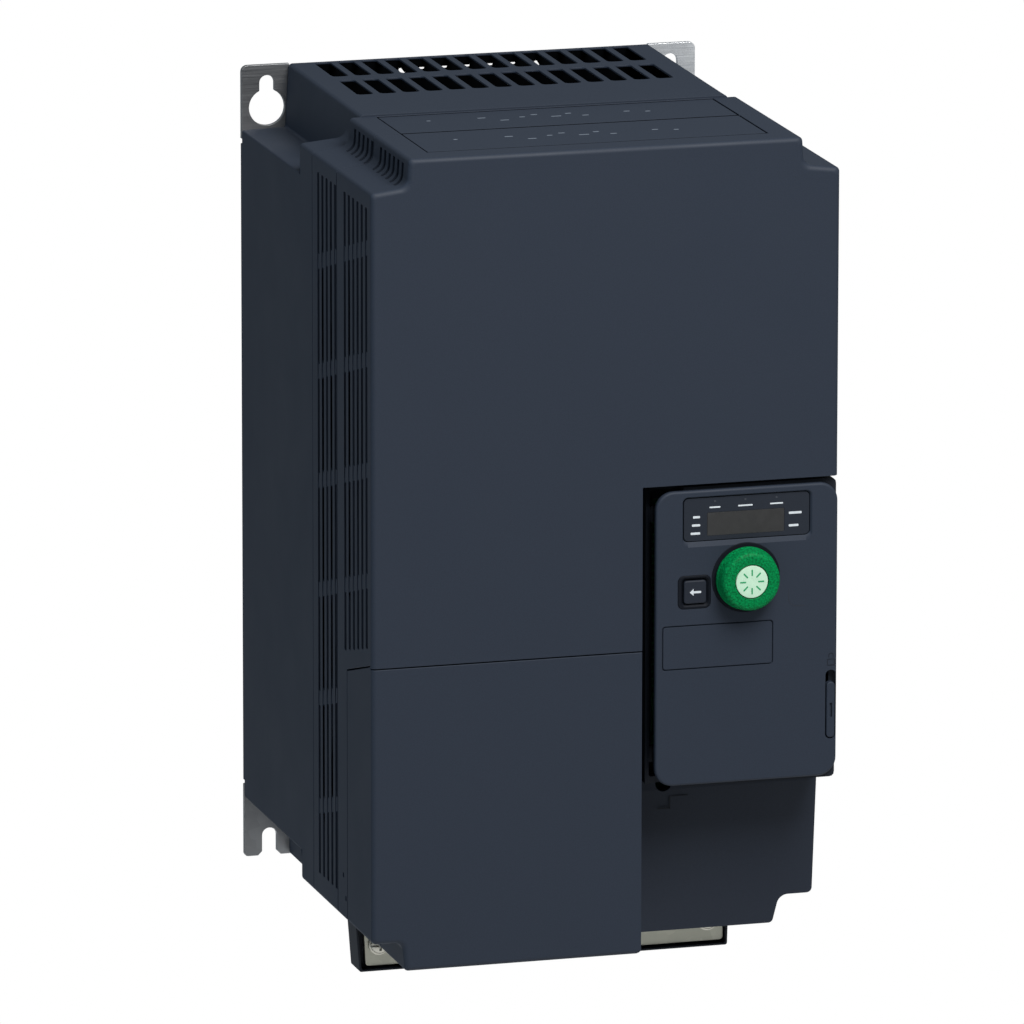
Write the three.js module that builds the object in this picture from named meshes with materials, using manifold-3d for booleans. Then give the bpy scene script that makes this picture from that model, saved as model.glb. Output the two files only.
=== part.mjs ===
// Variable frequency drive for wall mounting, about 180 x 332 x 193 mm.
// Units are millimetres. The origin is the centre of the mounting plate's rear face,
// +X is right as seen from the front, +Y points into the wall, +Z is up. The front faces -Y.
import * as THREE from "three";
import { mergeVertices } from "three/addons/utils/BufferGeometryUtils.js";
import Module from "manifold-3d";

const wasm = await Module();
wasm.setup();

// ---------- driving dimensions ----------
const GAP = 0.3; // clearance left between pieces that touch

const PLATE = {
  half: 90,
  top: 154.5,
  bottom: -155.4,
  thick: 2,
  waist: 86.7,
  waistTop: 126.2,
  waistBottom: -126.5,
};
const SLOT = { x: 80, z: 147.5, width: 5.8, keyhole: 14, keyholeDrop: 9.5 };
const WINDOW = { half: 28.8, low: 144.6, high: 151 };

const REAR = { half: 90, top: 130, bottom: -131.4, wall: 3, cap: 1.8 };
const HOOD = { half: 71.6, shelfHalf: 73, footHalf: 72.5, endHalf: 72, top: 154.1, bottom: -155.7 };
const REAR_FRONT = -85.8;
const BODY = { half: 90, shoulder: 140.8, shoulderIn: 142.5, towerTop: 153, wall: 2.5 };
const TOWER = [[75.5, BODY.towerTop], [76.2, BODY.shoulderIn]]; // half widths at the top and the foot
const HOOD_TOWER = [[HOOD.half, HOOD.top], [HOOD.shelfHalf, BODY.shoulderIn]];
const FOOT = { shelf: -143.3, bottom: -154.3, left: [-78.2, -77.1], right: [77.2, 74.8], round: 4 };
const MID = { rear: -86.1, front: -103 };
const VENT = { rear: -103.3, front: -137.3 };
const COVER = { rear: -137.6, front: -185 };

const GRILLE = { count: 14, pitch: 9.05, width: 6.3, rows: [[-31.1, -3.6], [-66.1, -38.3]] };
const LOUVRE = { width: 2.8, pitchY: 5.88, pitchZ: 41.8, bridge: 5.6 };
const BRIDGE = { z: 101, y: -111.8, rise: 0.277 }; // the highest row of bridges climbs towards the front
const SHOULDER_SLOT = { inner: 72.4, outer: 79, low: 137.5, high: 150.2 };
const STRIP = { half: 65.3, thick: 1.2, pocket: 1.5 };

const SEAM_Z = -37.8; // lower edge of the front cover on the front face
const SEAM_SIDE_Z = -46.9; // the same edge at the rear end of the terminal cover's side
const TERMINAL_REAR = -151;
const BAY = { left: 14.2, top: 24.2, rear: -150.3, floor: -161, tilt: -98, foot: -155 };

const DOOR = { left: 19.3, right: 90, top: 21.8, bottom: -90.5, corner: 7, thick: 2.2 };
const HINGE = { x: 24, y: -180.2, ear: 2.1, pin: 1, sweep: 7 };
const BASE = { left: 17.6, right: 90, top: 22.8, bottom: -91.6, front: -182.4 };
const EARS = [[8, 14], [-84, -78]]; // heights of the two hinge ears

const DIAL = { x: 54.2, z: -12.3, foot: 12, face: 11.2, back: -185.9, front: -193.2, shaft: 2.9, cap: 6.2 };
const ESC = { x: 34.6, z: -16.7, key: 8.8, pocketX: 34.25, pocket: 12.9, front: -185.2 };
const BEZEL = { left: 30.3, right: 79, bottom: 2.6, top: 18.8 };
const PANE = { left: 39.1, right: 69.5, bottom: 4, top: 13.3 };
const LOCK = { x: 87.65, half: 2.05, top: -50, bottom: -76.4, sliderTop: -54.6, sliderBottom: -75.9 };

const FAN = { x: 37, y: -43, size: 70, bore: 33.5, low: -127, high: -102, hub: 13, tip: 32, blades: 7 };
const SINK = { half: 84, base: [-84, -78], bottom: -94, top: 118, fins: 22, finThick: 1.6 };
const FRAME = {
  left: [-73.1, -71.3],
  right: [74.9, 74.3],
  bottom: -177.2,
  rear: -87.8,
  front: -100,
  lip: 0.9,
};

const EARTH = {
  left: [-69.4, -68.5],
  right: 73.1,
  bottom: -175.5,
  top: -157.6,
  front: -98.3,
  rear: -96.1,
  clamps: [-31, 1.5, 34],
};
const EARTH_SCREW = { x: [-63.2, 66.7], z: -167, head: 3.5, shank: 2.1 };

// ---------- finishes ----------
const finish = (color, roughness, metalness = 0) =>
  new THREE.MeshStandardMaterial({ color, roughness, metalness });
const BLUE_GREY = 0x343c47;
const paint = () => finish(BLUE_GREY, 0.6);
const dark = () => finish(0x22262d, 0.55);
const steel = () => finish(0xb4b5b4, 0.4, 0.9);
const aluminium = () => finish(0xa7a9ab, 0.45, 0.9);
const circuit = () => finish(0x1d5a34, 0.5);
const black = () => finish(0x17181a, 0.5);

// ---------- solids ----------
// A closed three.js geometry as a manifold solid, with shared vertices merged.
function solid(geometry) {
  const bare = geometry.index ? geometry.toNonIndexed() : geometry.clone();
  bare.deleteAttribute("normal");
  bare.deleteAttribute("uv");
  const merged = mergeVertices(bare, 1e-4);
  return new wasm.Manifold(
    new wasm.Mesh({
      numProp: 3,
      vertProperties: merged.attributes.position.array,
      triVerts: new Uint32Array(merged.index.array),
    }),
  );
}

// A manifold solid as a three.js geometry.
function geometryOf(body) {
  const mesh = body.getMesh();
  const geometry = new THREE.BufferGeometry();
  geometry.setAttribute("position", new THREE.BufferAttribute(mesh.vertProperties, 3));
  geometry.setIndex(new THREE.BufferAttribute(mesh.triVerts, 1));
  return geometry;
}

const join = (first, ...others) => others.reduce((whole, piece) => whole.add(piece), first);
const cut = (first, ...others) => others.reduce((whole, piece) => whole.subtract(piece), first);

function box(x, y, z) {
  const sides = [x, y, z].map(([low, high]) => high - low);
  const middle = [x, y, z].map(([low, high]) => (low + high) / 2);
  return solid(new THREE.BoxGeometry(...sides).translate(...middle));
}

// A closed outline through corners [u, v, radius]; each corner is eased by its radius.
function outline(corners) {
  const shape = new THREE.Shape();
  const count = corners.length;
  corners.forEach(([u, v, radius = 0], i) => {
    const here = new THREE.Vector2(u, v);
    const reach = (other) => {
      const away = new THREE.Vector2(other[0], other[1]).sub(here);
      return here.clone().addScaledVector(away.normalize(), radius);
    };
    const start = reach(corners[(i + count - 1) % count]);
    const end = reach(corners[(i + 1) % count]);
    if (i === 0) shape.moveTo(start.x, start.y);
    else shape.lineTo(start.x, start.y);
    if (radius > 0) shape.quadraticCurveTo(u, v, end.x, end.y);
  });
  shape.closePath();
  return shape;
}

// Outlines drawn in (x, z) and drawn out along Y, in (y, z) along X, and in (x, y) along Z.
const extrude = (shape, depth) =>
  new THREE.ExtrudeGeometry(shape, { depth, bevelEnabled: false, curveSegments: 3 });
const alongY = (shape, front, rear) =>
  solid(extrude(shape, rear - front).rotateX(Math.PI / 2).translate(0, rear, 0));
const alongZ = (shape, low, high) => solid(extrude(shape, high - low).translate(0, 0, low));
function alongX(shape, left, right) {
  const turn = new THREE.Matrix4().makeBasis(
    new THREE.Vector3(0, 1, 0),
    new THREE.Vector3(0, 0, 1),
    new THREE.Vector3(1, 0, 0),
  );
  return solid(extrude(shape, right - left).applyMatrix4(turn).translate(left, 0, 0));
}

// A round bar along an axis, tapering from radius at its low end to radiusHigh.
function bar(axis, radius, low, high, [a, b], sides = 24, radiusHigh = radius) {
  const rod = new THREE.CylinderGeometry(radiusHigh, radius, high - low, sides);
  const middle = (low + high) / 2;
  if (axis === "x") rod.rotateZ(-Math.PI / 2).translate(middle, a, b);
  if (axis === "y") rod.translate(a, middle, b);
  if (axis === "z") rod.rotateX(Math.PI / 2).translate(a, b, middle);
  return solid(rod);
}

const rectangle = (left, right, bottom, top, radius = 0) =>
  outline([
    [left, bottom, radius],
    [right, bottom, radius],
    [right, top, radius],
    [left, top, radius],
  ]);

// A half outline from top to bottom, on the +X side, mirrored into a whole one.
const mirrored = (half) => outline([...half.map(([u, v, r]) => [-u, v, r]).reverse(), ...half].reverse());

const drive = new THREE.Group();
drive.name = "variable_frequency_drive";

function piece(name, body, material, group = drive) {
  const mesh = new THREE.Mesh(geometryOf(body), material);
  mesh.name = name;
  group.add(mesh);
}

// ---------- mounting plate ----------
function mountingPlate() {
  const { half, top, bottom, waist, waistTop, waistBottom, thick } = PLATE;
  const inner = HOOD.half - 0.5;
  const plate = alongY(
    mirrored([
      [inner, HOOD.top - 2, 0],
      [inner, top, 0],
      [half, top, 2.5],
      [half, waistTop, 0],
      [waist, waistTop, 0],
      [waist, waistBottom, 0],
      [half, waistBottom, 0],
      [half, bottom, 1.5],
      [inner, bottom, 0],
      [inner, HOOD.bottom + 2.7, 0],
    ]),
    -thick,
    0,
  );
  const through = [-thick - 1, 1];
  const holes = [box([-WINDOW.half, WINDOW.half], through, [WINDOW.low, WINDOW.high])];
  for (const side of [-1, 1]) {
    const x = side * SLOT.x;
    const drop = SLOT.z - SLOT.keyholeDrop;
    const halfWidth = SLOT.width / 2;
    holes.push(bar("y", halfWidth, ...through, [x, SLOT.z], 16));
    holes.push(box([x - halfWidth, x + halfWidth], through, [drop, SLOT.z]));
    holes.push(bar("y", SLOT.keyhole / 2, ...through, [x, drop], 24));
    holes.push(bar("y", halfWidth, ...through, [x, -SLOT.z], 16));
    holes.push(box([x - halfWidth, x + halfWidth], through, [bottom - 1, -SLOT.z]));
  }
  return cut(plate, ...holes);
}
piece("mounting_plate", mountingPlate(), steel());

// ---------- rear housing: the air duct around the heatsink ----------
function rearOutline(inset, cap) {
  return mirrored([
    [HOOD.half - inset, HOOD.top - cap, 1],
    [HOOD.shelfHalf - inset, REAR.top - inset, 1],
    [REAR.half - inset, REAR.top - inset, 0.8],
    [REAR.half - inset, REAR.bottom + inset, 1],
    [HOOD.footHalf - inset, REAR.bottom + inset, 1],
    [HOOD.endHalf - inset, HOOD.bottom + cap, 1],
  ]);
}

// Rows of air slots through the top and the bottom of the duct.
function grilleCuts() {
  const first = (-(GRILLE.count - 1) * GRILLE.pitch) / 2;
  const cuts = [];
  for (let i = 0; i < GRILLE.count; i++) {
    const x = first + i * GRILLE.pitch;
    for (const [front, rear] of GRILLE.rows) {
      const slot = rectangle(x - GRILLE.width / 2, x + GRILLE.width / 2, front, rear);
      cuts.push(alongZ(slot, HOOD.top - REAR.cap - 1, HOOD.top + 1));
      cuts.push(alongZ(slot, HOOD.bottom - 1, HOOD.bottom + REAR.cap + 1));
    }
  }
  return cuts;
}

function rearHousing() {
  const rear = -PLATE.thick - GAP;
  const duct = cut(
    alongY(rearOutline(0, 0), REAR_FRONT, rear),
    alongY(rearOutline(REAR.wall, REAR.cap), REAR_FRONT - 1, rear + 1),
  );
  // The hood is closed behind, except for a window in line with the one in the plate.
  const back = cut(
    box([1 - HOOD.half, HOOD.half - 1], [rear - 1.6, rear], [REAR.top + 2, HOOD.top - 1]),
    box([-WINDOW.half, WINDOW.half], [rear - 3, rear + 1], [WINDOW.low, WINDOW.high]),
  );
  const flange = (side) => {
    const x = [side * (PLATE.waist + GAP), side * REAR.half].sort((a, b) => a - b);
    return box(x, [rear - 1, -GAP], [PLATE.waistBottom + 1.5, PLATE.waistTop - 1.75]);
  };
  return cut(join(duct, back, flange(-1), flange(1)), ...grilleCuts());
}
piece("rear_housing", rearHousing(), paint());

// ---------- heatsink ----------
function heatsink() {
  const pitch = (2 * SINK.half - SINK.finThick) / (SINK.fins - 1);
  const [front, back] = SINK.base;
  const corners = [
    [-SINK.half, front],
    [SINK.half, front],
  ];
  for (let i = SINK.fins - 1; i >= 0; i--) {
    const left = -SINK.half + i * pitch;
    const right = left + SINK.finThick;
    const tip = -PLATE.thick - GAP;
    if (i < SINK.fins - 1) corners.push([right, back]);
    corners.push([right, tip], [left, tip]);
    if (i > 0) corners.push([left, back]);
  }
  return alongZ(outline(corners), SINK.bottom, SINK.top);
}
piece("heatsink", heatsink(), aluminium());

// ---------- cooling fans ----------
function fanFrame(x) {
  const half = FAN.size / 2;
  const at = [x, FAN.y];
  const square = rectangle(x - half, x + half, FAN.y - half, FAN.y + half, 3);
  const bore = bar("z", FAN.bore, FAN.low - 1, FAN.high + 1, at, 28);
  const shell = cut(alongZ(square, FAN.low, FAN.high), bore);
  const strut = [FAN.low, FAN.low + 2];
  return join(
    shell,
    box([x - half + 0.5, x + half - 0.5], [FAN.y - 1.5, FAN.y + 1.5], strut),
    box([x - 1.5, x + 1.5], [FAN.y - half + 0.5, FAN.y + half - 0.5], strut),
    bar("z", FAN.hub, FAN.low, FAN.low + 3, at, 24),
  );
}

function fanRotor(x) {
  const low = FAN.low + 4;
  const high = FAN.high - 1.5;
  const hub = bar("z", FAN.hub, low, high, [0, 0], 20);
  const blades = [];
  for (let i = 0; i < FAN.blades; i++) {
    const blade = new THREE.BoxGeometry(FAN.tip - FAN.hub + 4, 1.6, 19)
      .rotateX(0.62)
      .translate((FAN.tip + FAN.hub) / 2 - 2, 0, (low + high) / 2)
      .rotateZ((i * 2 * Math.PI) / FAN.blades);
    blades.push(solid(blade));
  }
  const reach = bar("z", FAN.tip, low, high, [0, 0], 28);
  return join(hub, ...blades).intersect(reach).translate([x, FAN.y, 0]);
}

for (const [side, x] of [["left", -FAN.x], ["right", FAN.x]]) {
  piece(`fan_frame_${side}`, fanFrame(x), black());
  piece(`fan_rotor_${side}`, fanRotor(x), black());
}

// ---------- body sections in front of the duct ----------
function bodyOutline(inset, [[topHalf, top], [neckHalf, neck]] = TOWER) {
  const shoulder = [
    [topHalf - inset, top - inset, 1.5],
    [neckHalf - inset, neck - inset, 4],
    [BODY.half - inset, BODY.shoulder - inset, 1.6],
    [BODY.half - inset, FOOT.shelf + inset, 2],
  ];
  const right = [
    ...shoulder,
    [FOOT.right[0] - inset, FOOT.shelf + inset, FOOT.round],
    [FOOT.right[1] - inset, FOOT.bottom + inset, 1],
  ];
  const left = [
    [FOOT.left[1] + inset, FOOT.bottom + inset, 1],
    [FOOT.left[0] + inset, FOOT.shelf + inset, FOOT.round],
    ...shoulder.map(([x, z, radius]) => [-x, z, radius]).reverse(),
  ];
  return outline([...left, ...right].reverse());
}

const bodyRing = (front, rear, wall) =>
  cut(alongY(bodyOutline(0), front, rear), alongY(bodyOutline(wall), front - 1, rear + 1));

// The rearmost section carries the hood's narrower tower on to the vent shell.
function midFrame() {
  const outer = alongY(bodyOutline(0, HOOD_TOWER), MID.front, MID.rear);
  const inner = alongY(bodyOutline(BODY.wall, HOOD_TOWER), MID.front - 1, MID.rear - 2.5);
  const window = box([-70, 70], [MID.rear - 4, MID.rear + 1], [-121, 121]);
  return cut(outer, inner, window);
}
piece("mid_frame", midFrame(), paint());

// Vertical air louvres through both side walls, in columns along Y and groups along Z.
function louvreCuts(columns, groups) {
  const cuts = [];
  const outer = BODY.half + 1;
  const inner = BODY.half - BODY.wall - 1;
  for (const y of columns) {
    for (const [low, high] of groups(y)) {
      const slot = [y - LOUVRE.width / 2, y + LOUVRE.width / 2];
      cuts.push(box([inner, outer], slot, [low, high]));
      cuts.push(box([-outer, -inner], slot, [low, high]));
    }
  }
  return cuts;
}

// Louvres through the hollow curve between the shoulder and the tower.
function shoulderCuts(columns) {
  const { inner, outer, low, high } = SHOULDER_SLOT;
  return columns.flatMap((y) =>
    [-1, 1].map((side) => {
      const x = [side * inner, side * outer].sort((a, b) => a - b);
      return box(x, [y - LOUVRE.width / 2, y + LOUVRE.width / 2], [low, high]);
    }),
  );
}

const louvreColumns = (first, count) =>
  Array.from({ length: count }, (_, i) => first - i * LOUVRE.pitchY);

// Groups of the louvre column at y, from its top down, with a bridge every pitchZ.
function louvreGroups(y, top, bottom) {
  const groups = [];
  const highest = BRIDGE.z + BRIDGE.rise * (BRIDGE.y - y);
  let high = top;
  for (let bridge = highest; bridge > bottom + LOUVRE.bridge; bridge -= LOUVRE.pitchZ) {
    groups.push([bridge + LOUVRE.bridge / 2, high]);
    high = bridge - LOUVRE.bridge / 2;
  }
  groups.push([bottom, high]);
  return groups;
}

const topPocket = (front, rear) =>
  box(
    [-STRIP.half - GAP, STRIP.half + GAP],
    [front - GAP, rear + GAP],
    [BODY.towerTop - STRIP.pocket, BODY.towerTop + 1],
  );
const STRIP_REAR = [-135.6, -104.2];
const STRIP_FRONT = [-173.7, -138.8];

const VENT_COLUMNS = louvreColumns(-111.8, 5);
const COVER_COLUMNS = louvreColumns(-148.6, 6);
const CABLE_HOLES = [[-52, 11], [-20, 11], [12, 11], [46, 9]];

function ventShell() {
  const shell = bodyRing(VENT.front, VENT.rear, BODY.wall + 0.3);
  // A rear web closes the step down to the narrower tower behind.
  const ring = join(shell, bodyRing(VENT.rear - 2, VENT.rear, 2 * BODY.wall + 1));
  const middle = (VENT.front + VENT.rear) / 2;
  const glands = CABLE_HOLES.map(([x, radius]) =>
    bar("z", radius, FOOT.bottom - 1, FOOT.bottom + 4, [x, middle], 20),
  );
  return cut(
    ring,
    ...louvreCuts(VENT_COLUMNS, (y) => louvreGroups(y, 134.8, -134)),
    ...shoulderCuts(VENT_COLUMNS),
    topPocket(...STRIP_REAR),
    ...glands,
  );
}
piece("vent_shell", ventShell(), paint());

const topStrip = ([front, rear]) =>
  box([-STRIP.half, STRIP.half], [front, rear], [BODY.towerTop - STRIP.thick, BODY.towerTop]);
piece("top_strip_rear", topStrip(STRIP_REAR), paint());
piece("top_strip_front", topStrip(STRIP_FRONT), paint());

// ---------- front cover ----------
// The side view of the terminal cover, in (y, z): its top edge slopes down towards the rear.
const terminalSide = (grow) =>
  outline([
    [COVER.front - 1, SEAM_Z + grow],
    [TERMINAL_REAR + grow, SEAM_SIDE_Z + grow],
    [TERMINAL_REAR + grow, FOOT.bottom - 1],
    [COVER.front - 1, FOOT.bottom - 1],
  ]);

function frontCover() {
  const shell = cut(
    alongY(bodyOutline(0), COVER.front, COVER.rear),
    alongY(bodyOutline(BODY.wall + 0.3), COVER.front + BODY.wall, COVER.rear + 1),
  );
  const bottomOfSlots = (y) => -39 + ((-148.6 - y) * 7.4) / 29.5;
  return cut(
    shell,
    alongX(terminalSide(GAP), -BODY.half - 1, BAY.left + 0.1),
    box([BAY.left, BODY.half + 1], [COVER.front - 1, BAY.rear + GAP], [FOOT.bottom - 1, BAY.top]),
    ...louvreCuts(COVER_COLUMNS, (y) => louvreGroups(y, 134.6, bottomOfSlots(y))),
    ...shoulderCuts(COVER_COLUMNS),
    topPocket(...STRIP_FRONT),
  );
}
piece("front_cover", frontCover(), paint());

// ---------- terminal cover: pulls straight off ----------
function terminalCover() {
  const side = alongX(terminalSide(0), -BODY.half - 1, BAY.left);
  const outer = alongY(bodyOutline(0), COVER.front, TERMINAL_REAR).intersect(side);
  const hollow = alongY(bodyOutline(BODY.wall), COVER.front + BODY.wall, TERMINAL_REAR + 1);
  const room = hollow.intersect(box([-BODY.half, BAY.left - BODY.wall], [-190, -140], [-160, SEAM_Z + 1]));
  const depth = [BAY.floor - GAP, TERMINAL_REAR + 1];
  const clearOfBay = box([BAY.left - 4, BAY.left + 1], depth, [FOOT.bottom - 1, SEAM_Z]);
  return cut(outer, room, clearOfBay);
}
const terminal = new THREE.Group();
drive.add(terminal);
piece("terminal_cover", terminalCover(), paint(), terminal);

// ---------- control bay behind and under the door ----------
function controlBay() {
  const left = BAY.left + GAP;
  const profile = (inset) =>
    outline([
      [BAY.floor + inset, BAY.top - GAP - inset],
      [BAY.floor + inset, BAY.tilt],
      [BAY.foot + inset, FOOT.bottom - 1 + inset],
      [BAY.rear + (inset && 1), FOOT.bottom - 1 + inset],
      [BAY.rear + (inset && 1), BAY.top - GAP - inset],
    ].reverse());
  const outer = alongX(profile(0), left, BODY.half).intersect(alongY(bodyOutline(0), -170, -140));
  const inner = alongX(profile(BODY.wall), left + BODY.wall, BODY.half - BODY.wall).intersect(
    alongY(bodyOutline(BODY.wall), -170, -140),
  );
  const window = box([25, 84], [-170, BAY.rear + 1], [-82, 14]);
  const pocket = bar("y", 3, -170, -150, [23, -96.8], 16);
  return cut(outer, inner, window, pocket);
}
piece("control_bay", controlBay(), paint());

function doorBase() {
  const rear = BAY.floor - GAP;
  const { left, right, bottom, top, front } = BASE;
  const frame = cut(
    alongY(rectangle(left, right, bottom, top, 2), front, rear),
    alongY(rectangle(left + 2.5, right - 2.5, bottom + 2.5, top - 2.5, 1), front - 1, rear + 1),
    bar("z", HINGE.sweep, bottom - 1, top + 1, [HINGE.x, HINGE.y], 32),
  );
  const ears = EARS.map(([low, high]) => {
    const arm = join(
      box([HINGE.x - 1.7, HINGE.x + 1.7], [HINGE.y, -170], [low, high]),
      box([left + 1, HINGE.x + 1.7], [-172, -169], [low, high]),
      bar("z", HINGE.ear, low, high, [HINGE.x, HINGE.y], 20),
    );
    return cut(arm, bar("z", HINGE.pin + GAP, low - 1, high + 1, [HINGE.x, HINGE.y], 16));
  });
  return join(frame, ...ears);
}
piece("door_base", doorBase(), dark());

// ---------- door with the keypad ----------
const door = new THREE.Group();
drive.add(door);

function doorPanel() {
  const { left, right, bottom, top, corner, thick } = DOOR;
  const front = COVER.front;
  const panel = alongY(rectangle(left, right, bottom, top, corner), front, front + thick);
  const through = [front - 1, front + thick + 1];
  const escHalf = ESC.key / 2 + GAP;
  const pocketHalf = ESC.pocket / 2;
  const openings = [
    box([BEZEL.left - GAP, BEZEL.right + GAP], through, [BEZEL.bottom - GAP, BEZEL.top + GAP]),
    box([ESC.x - escHalf, ESC.x + escHalf], through, [ESC.z - escHalf, ESC.z + escHalf]),
    box(
      [ESC.pocketX - pocketHalf, ESC.pocketX + pocketHalf],
      [front - 1, front + 0.9],
      [ESC.z - pocketHalf, ESC.z + pocketHalf],
    ),
    bar("y", DIAL.shaft + 0.7, ...through, [DIAL.x, DIAL.z], 20),
    alongY(rectangle(LOCK.x - LOCK.half, LOCK.x + LOCK.half, LOCK.bottom, LOCK.top, 1.8), ...through),
  ];
  return cut(panel, ...openings);
}
piece("hmi_door", doorPanel(), paint(), door);

function displayBezel() {
  const plate = box([BEZEL.left, BEZEL.right], [-184.9, -183.2], [BEZEL.bottom, BEZEL.top]);
  return cut(plate, box([PANE.left, PANE.right], [-186, -182], [PANE.bottom, PANE.top]));
}
piece("display_bezel", displayBezel(), dark(), door);
piece(
  "display_window",
  box([PANE.left + GAP, PANE.right - GAP], [-184.6, -183.5], [PANE.bottom + GAP, PANE.top - GAP]),
  finish(0x3e3c3a, 0.15),
  door,
);
piece("display_module", box([36, 73], [-182.6, -180.1], [2, 15.5]), black(), door);
piece("keypad_board", box([28, 84], [-179.8, -178.6], [-40, 18.5]), circuit(), door);
piece(
  "encoder_housing",
  cut(
    bar("y", 8, -182.2, -180.1, [DIAL.x, DIAL.z], 24),
    bar("y", 5.4, -183, -179, [DIAL.x, DIAL.z], 24),
  ),
  black(),
  door,
);

const escBody = (front, rear, half) =>
  alongY(rectangle(ESC.x - half, ESC.x + half, ESC.z - half, ESC.z + half, 1), front, rear);
piece("esc_button", escBody(ESC.front, -181.2, ESC.key / 2), dark(), door);

// The dial: a turned knob with a blind hole for its shaft and a seat for its cap.
function jogDial() {
  const profile = [
    [0, DIAL.back - 1.4],
    [DIAL.shaft + GAP, DIAL.back - 1.4],
    [DIAL.shaft + GAP, DIAL.back],
    [DIAL.foot, DIAL.back],
    [DIAL.foot, DIAL.back - 1.2],
    [DIAL.face + 0.3, DIAL.back - 2.4],
    [DIAL.face, DIAL.front + 1],
    [DIAL.face - 1, DIAL.front],
    [DIAL.cap + GAP, DIAL.front],
    [DIAL.cap + GAP, DIAL.front + 1.3],
    [0, DIAL.front + 1.3],
  ].map(([radius, y]) => new THREE.Vector2(radius, y));
  return solid(new THREE.LatheGeometry(profile.reverse(), 30).translate(DIAL.x, 0, DIAL.z));
}
piece("jog_dial", jogDial(), finish(0x0f8a45, 0.5), door);
piece(
  "dial_cap",
  bar("y", DIAL.cap, DIAL.front + 0.2, DIAL.front + 1, [DIAL.x, DIAL.z], 32),
  finish(0xdff0e0, 0.4),
  door,
);
piece(
  "dial_plunger",
  join(
    bar("y", 5, -182.4, -181, [DIAL.x, DIAL.z], 24),
    bar("y", DIAL.shaft, DIAL.back - 1.1, -182, [DIAL.x, DIAL.z], 20),
  ),
  black(),
  door,
);

function lockSlider() {
  const half = LOCK.half - 0.4;
  const shape = rectangle(LOCK.x - half, LOCK.x + half, LOCK.sliderBottom, LOCK.sliderTop, 1.3);
  const head = alongY(shape, -185.3, -182.9);
  const tongue = box([LOCK.x - half, 87.1], [-183.5, -180.4], [-72, -58]);
  const driverSlot = box([LOCK.x - 0.5, LOCK.x + 0.5], [-186, -184.6], [-67.7, -62.3]);
  return cut(join(head, tongue), driverSlot);
}
piece("lock_slider", lockSlider(), dark(), door);

EARS.forEach(([low, high], i) => {
  const pin = bar("z", HINGE.pin, low - 0.5, high + 0.5, [HINGE.x, HINGE.y], 16);
  piece(`hinge_pin_${["upper", "lower"][i]}`, pin, steel());
});

// ---------- cable entry at the foot ----------
function bottomFrame() {
  const { left, right, bottom, front, rear, lip } = FRAME;
  const top = FOOT.bottom - GAP;
  const ring = (side, below, above) =>
    outline([
      [left[1] + side, bottom + below, 0.6],
      [right[1] - side, bottom + below, 0.6],
      [right[0] - side, top - above, 0.6],
      [left[0] + side, top - above, 0.6],
    ]);
  return cut(
    alongY(ring(0, 0, 0), front, rear),
    alongY(ring(lip, lip, 2.6), front - 1, EARTH.rear + GAP),
    box([-60, 60], [front - 1, rear + 1], [bottom + 8, top - 3]),
  );
}
piece("bottom_frame", bottomFrame(), dark());

function earthPlate() {
  const { left, right, bottom, top, front, rear } = EARTH;
  const shape = outline([
    [left[1], bottom, 1.5],
    [right, bottom, 1.5],
    [right, top, 1.5],
    [left[0], top, 1.5],
  ]);
  const hole = (radius, at, sides) => bar("y", radius, front - 1, rear + 1, at, sides);
  const { shank, z } = EARTH_SCREW;
  const screwHoles = EARTH_SCREW.x.map((x) => hole(shank + GAP, [x, z], 12));
  const clampHoles = EARTH.clamps.map((x) => hole(2.1, [x, z + 1], 16));
  return cut(alongY(shape, front, rear), ...screwHoles, ...clampHoles);
}
piece("earth_plate", earthPlate(), steel());

function earthScrew(x) {
  const { z, head, shank } = EARTH_SCREW;
  const seat = EARTH.front - GAP;
  const body = join(
    bar("y", head, seat - 2.3, seat, [x, z], 20),
    bar("y", shank, seat - 1, EARTH.rear - 0.1, [x, z], 12),
  );
  return cut(body, box([x - 5, x + 5], [seat - 3.2, seat - 1.3], [z - 0.5, z + 0.5]));
}
piece("earth_screw_left", earthScrew(EARTH_SCREW.x[0]), steel());
piece("earth_screw_right", earthScrew(EARTH_SCREW.x[1]), steel());

// ---------- electronics inside ----------
piece("power_module", box([-46, 46], [-91.7, SINK.base[0] - GAP], [-45, 15]), finish(0xd8d6cf, 0.6));
piece("power_board", box([-68, 68], [-93.6, -92], [-140, 118]), circuit());
[-51, -17, 17, 51].forEach((x, i) =>
  piece(`capacitor_${i + 1}`, bar("y", 15, -135, -93.9, [x, 62], 24), finish(0x1f2a44, 0.4)),
);

// A block of screw terminals: a back wall with partitions between its bays.
function terminalRow(bays, [left, right], [front, rear], [bottom, top], partition) {
  const pitch = (right - left - partition) / bays;
  const cuts = Array.from({ length: bays }, (_, i) => {
    const start = left + partition + i * pitch;
    return box([start, start + pitch - partition], [front - 1, rear - 8], [bottom - 1, top - 4]);
  });
  return cut(box([left, right], [front, rear], [bottom, top]), ...cuts);
}
piece("power_terminals", terminalRow(7, [-70, 10], [-142, -93.9], [-146, -122], 2), black());
piece("control_board", box([18, 84], [-147.6, -146], [-120, 18]), circuit());
const controlRow = terminalRow(10, [28, 82], [-168, -147.9], [-78, -64], 1.6);
piece("control_terminals", controlRow, finish(0x2f7d46, 0.5));

function networkSocket() {
  const body = box([30, 46], [-166, -147.9], [-54, -40]);
  return cut(body, box([32, 44], [-167, -153], [-51.5, -43]));
}
piece("network_socket", networkSocket(), black());

export default drive;
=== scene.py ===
"""Looks of a wall-mounted variable frequency drive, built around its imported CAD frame.

Metres, +X right seen from the front, +Y into the wall, +Z up. The front faces -Y.
"""

import math

import bmesh
import bpy
from mathutils import Matrix, Vector


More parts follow.
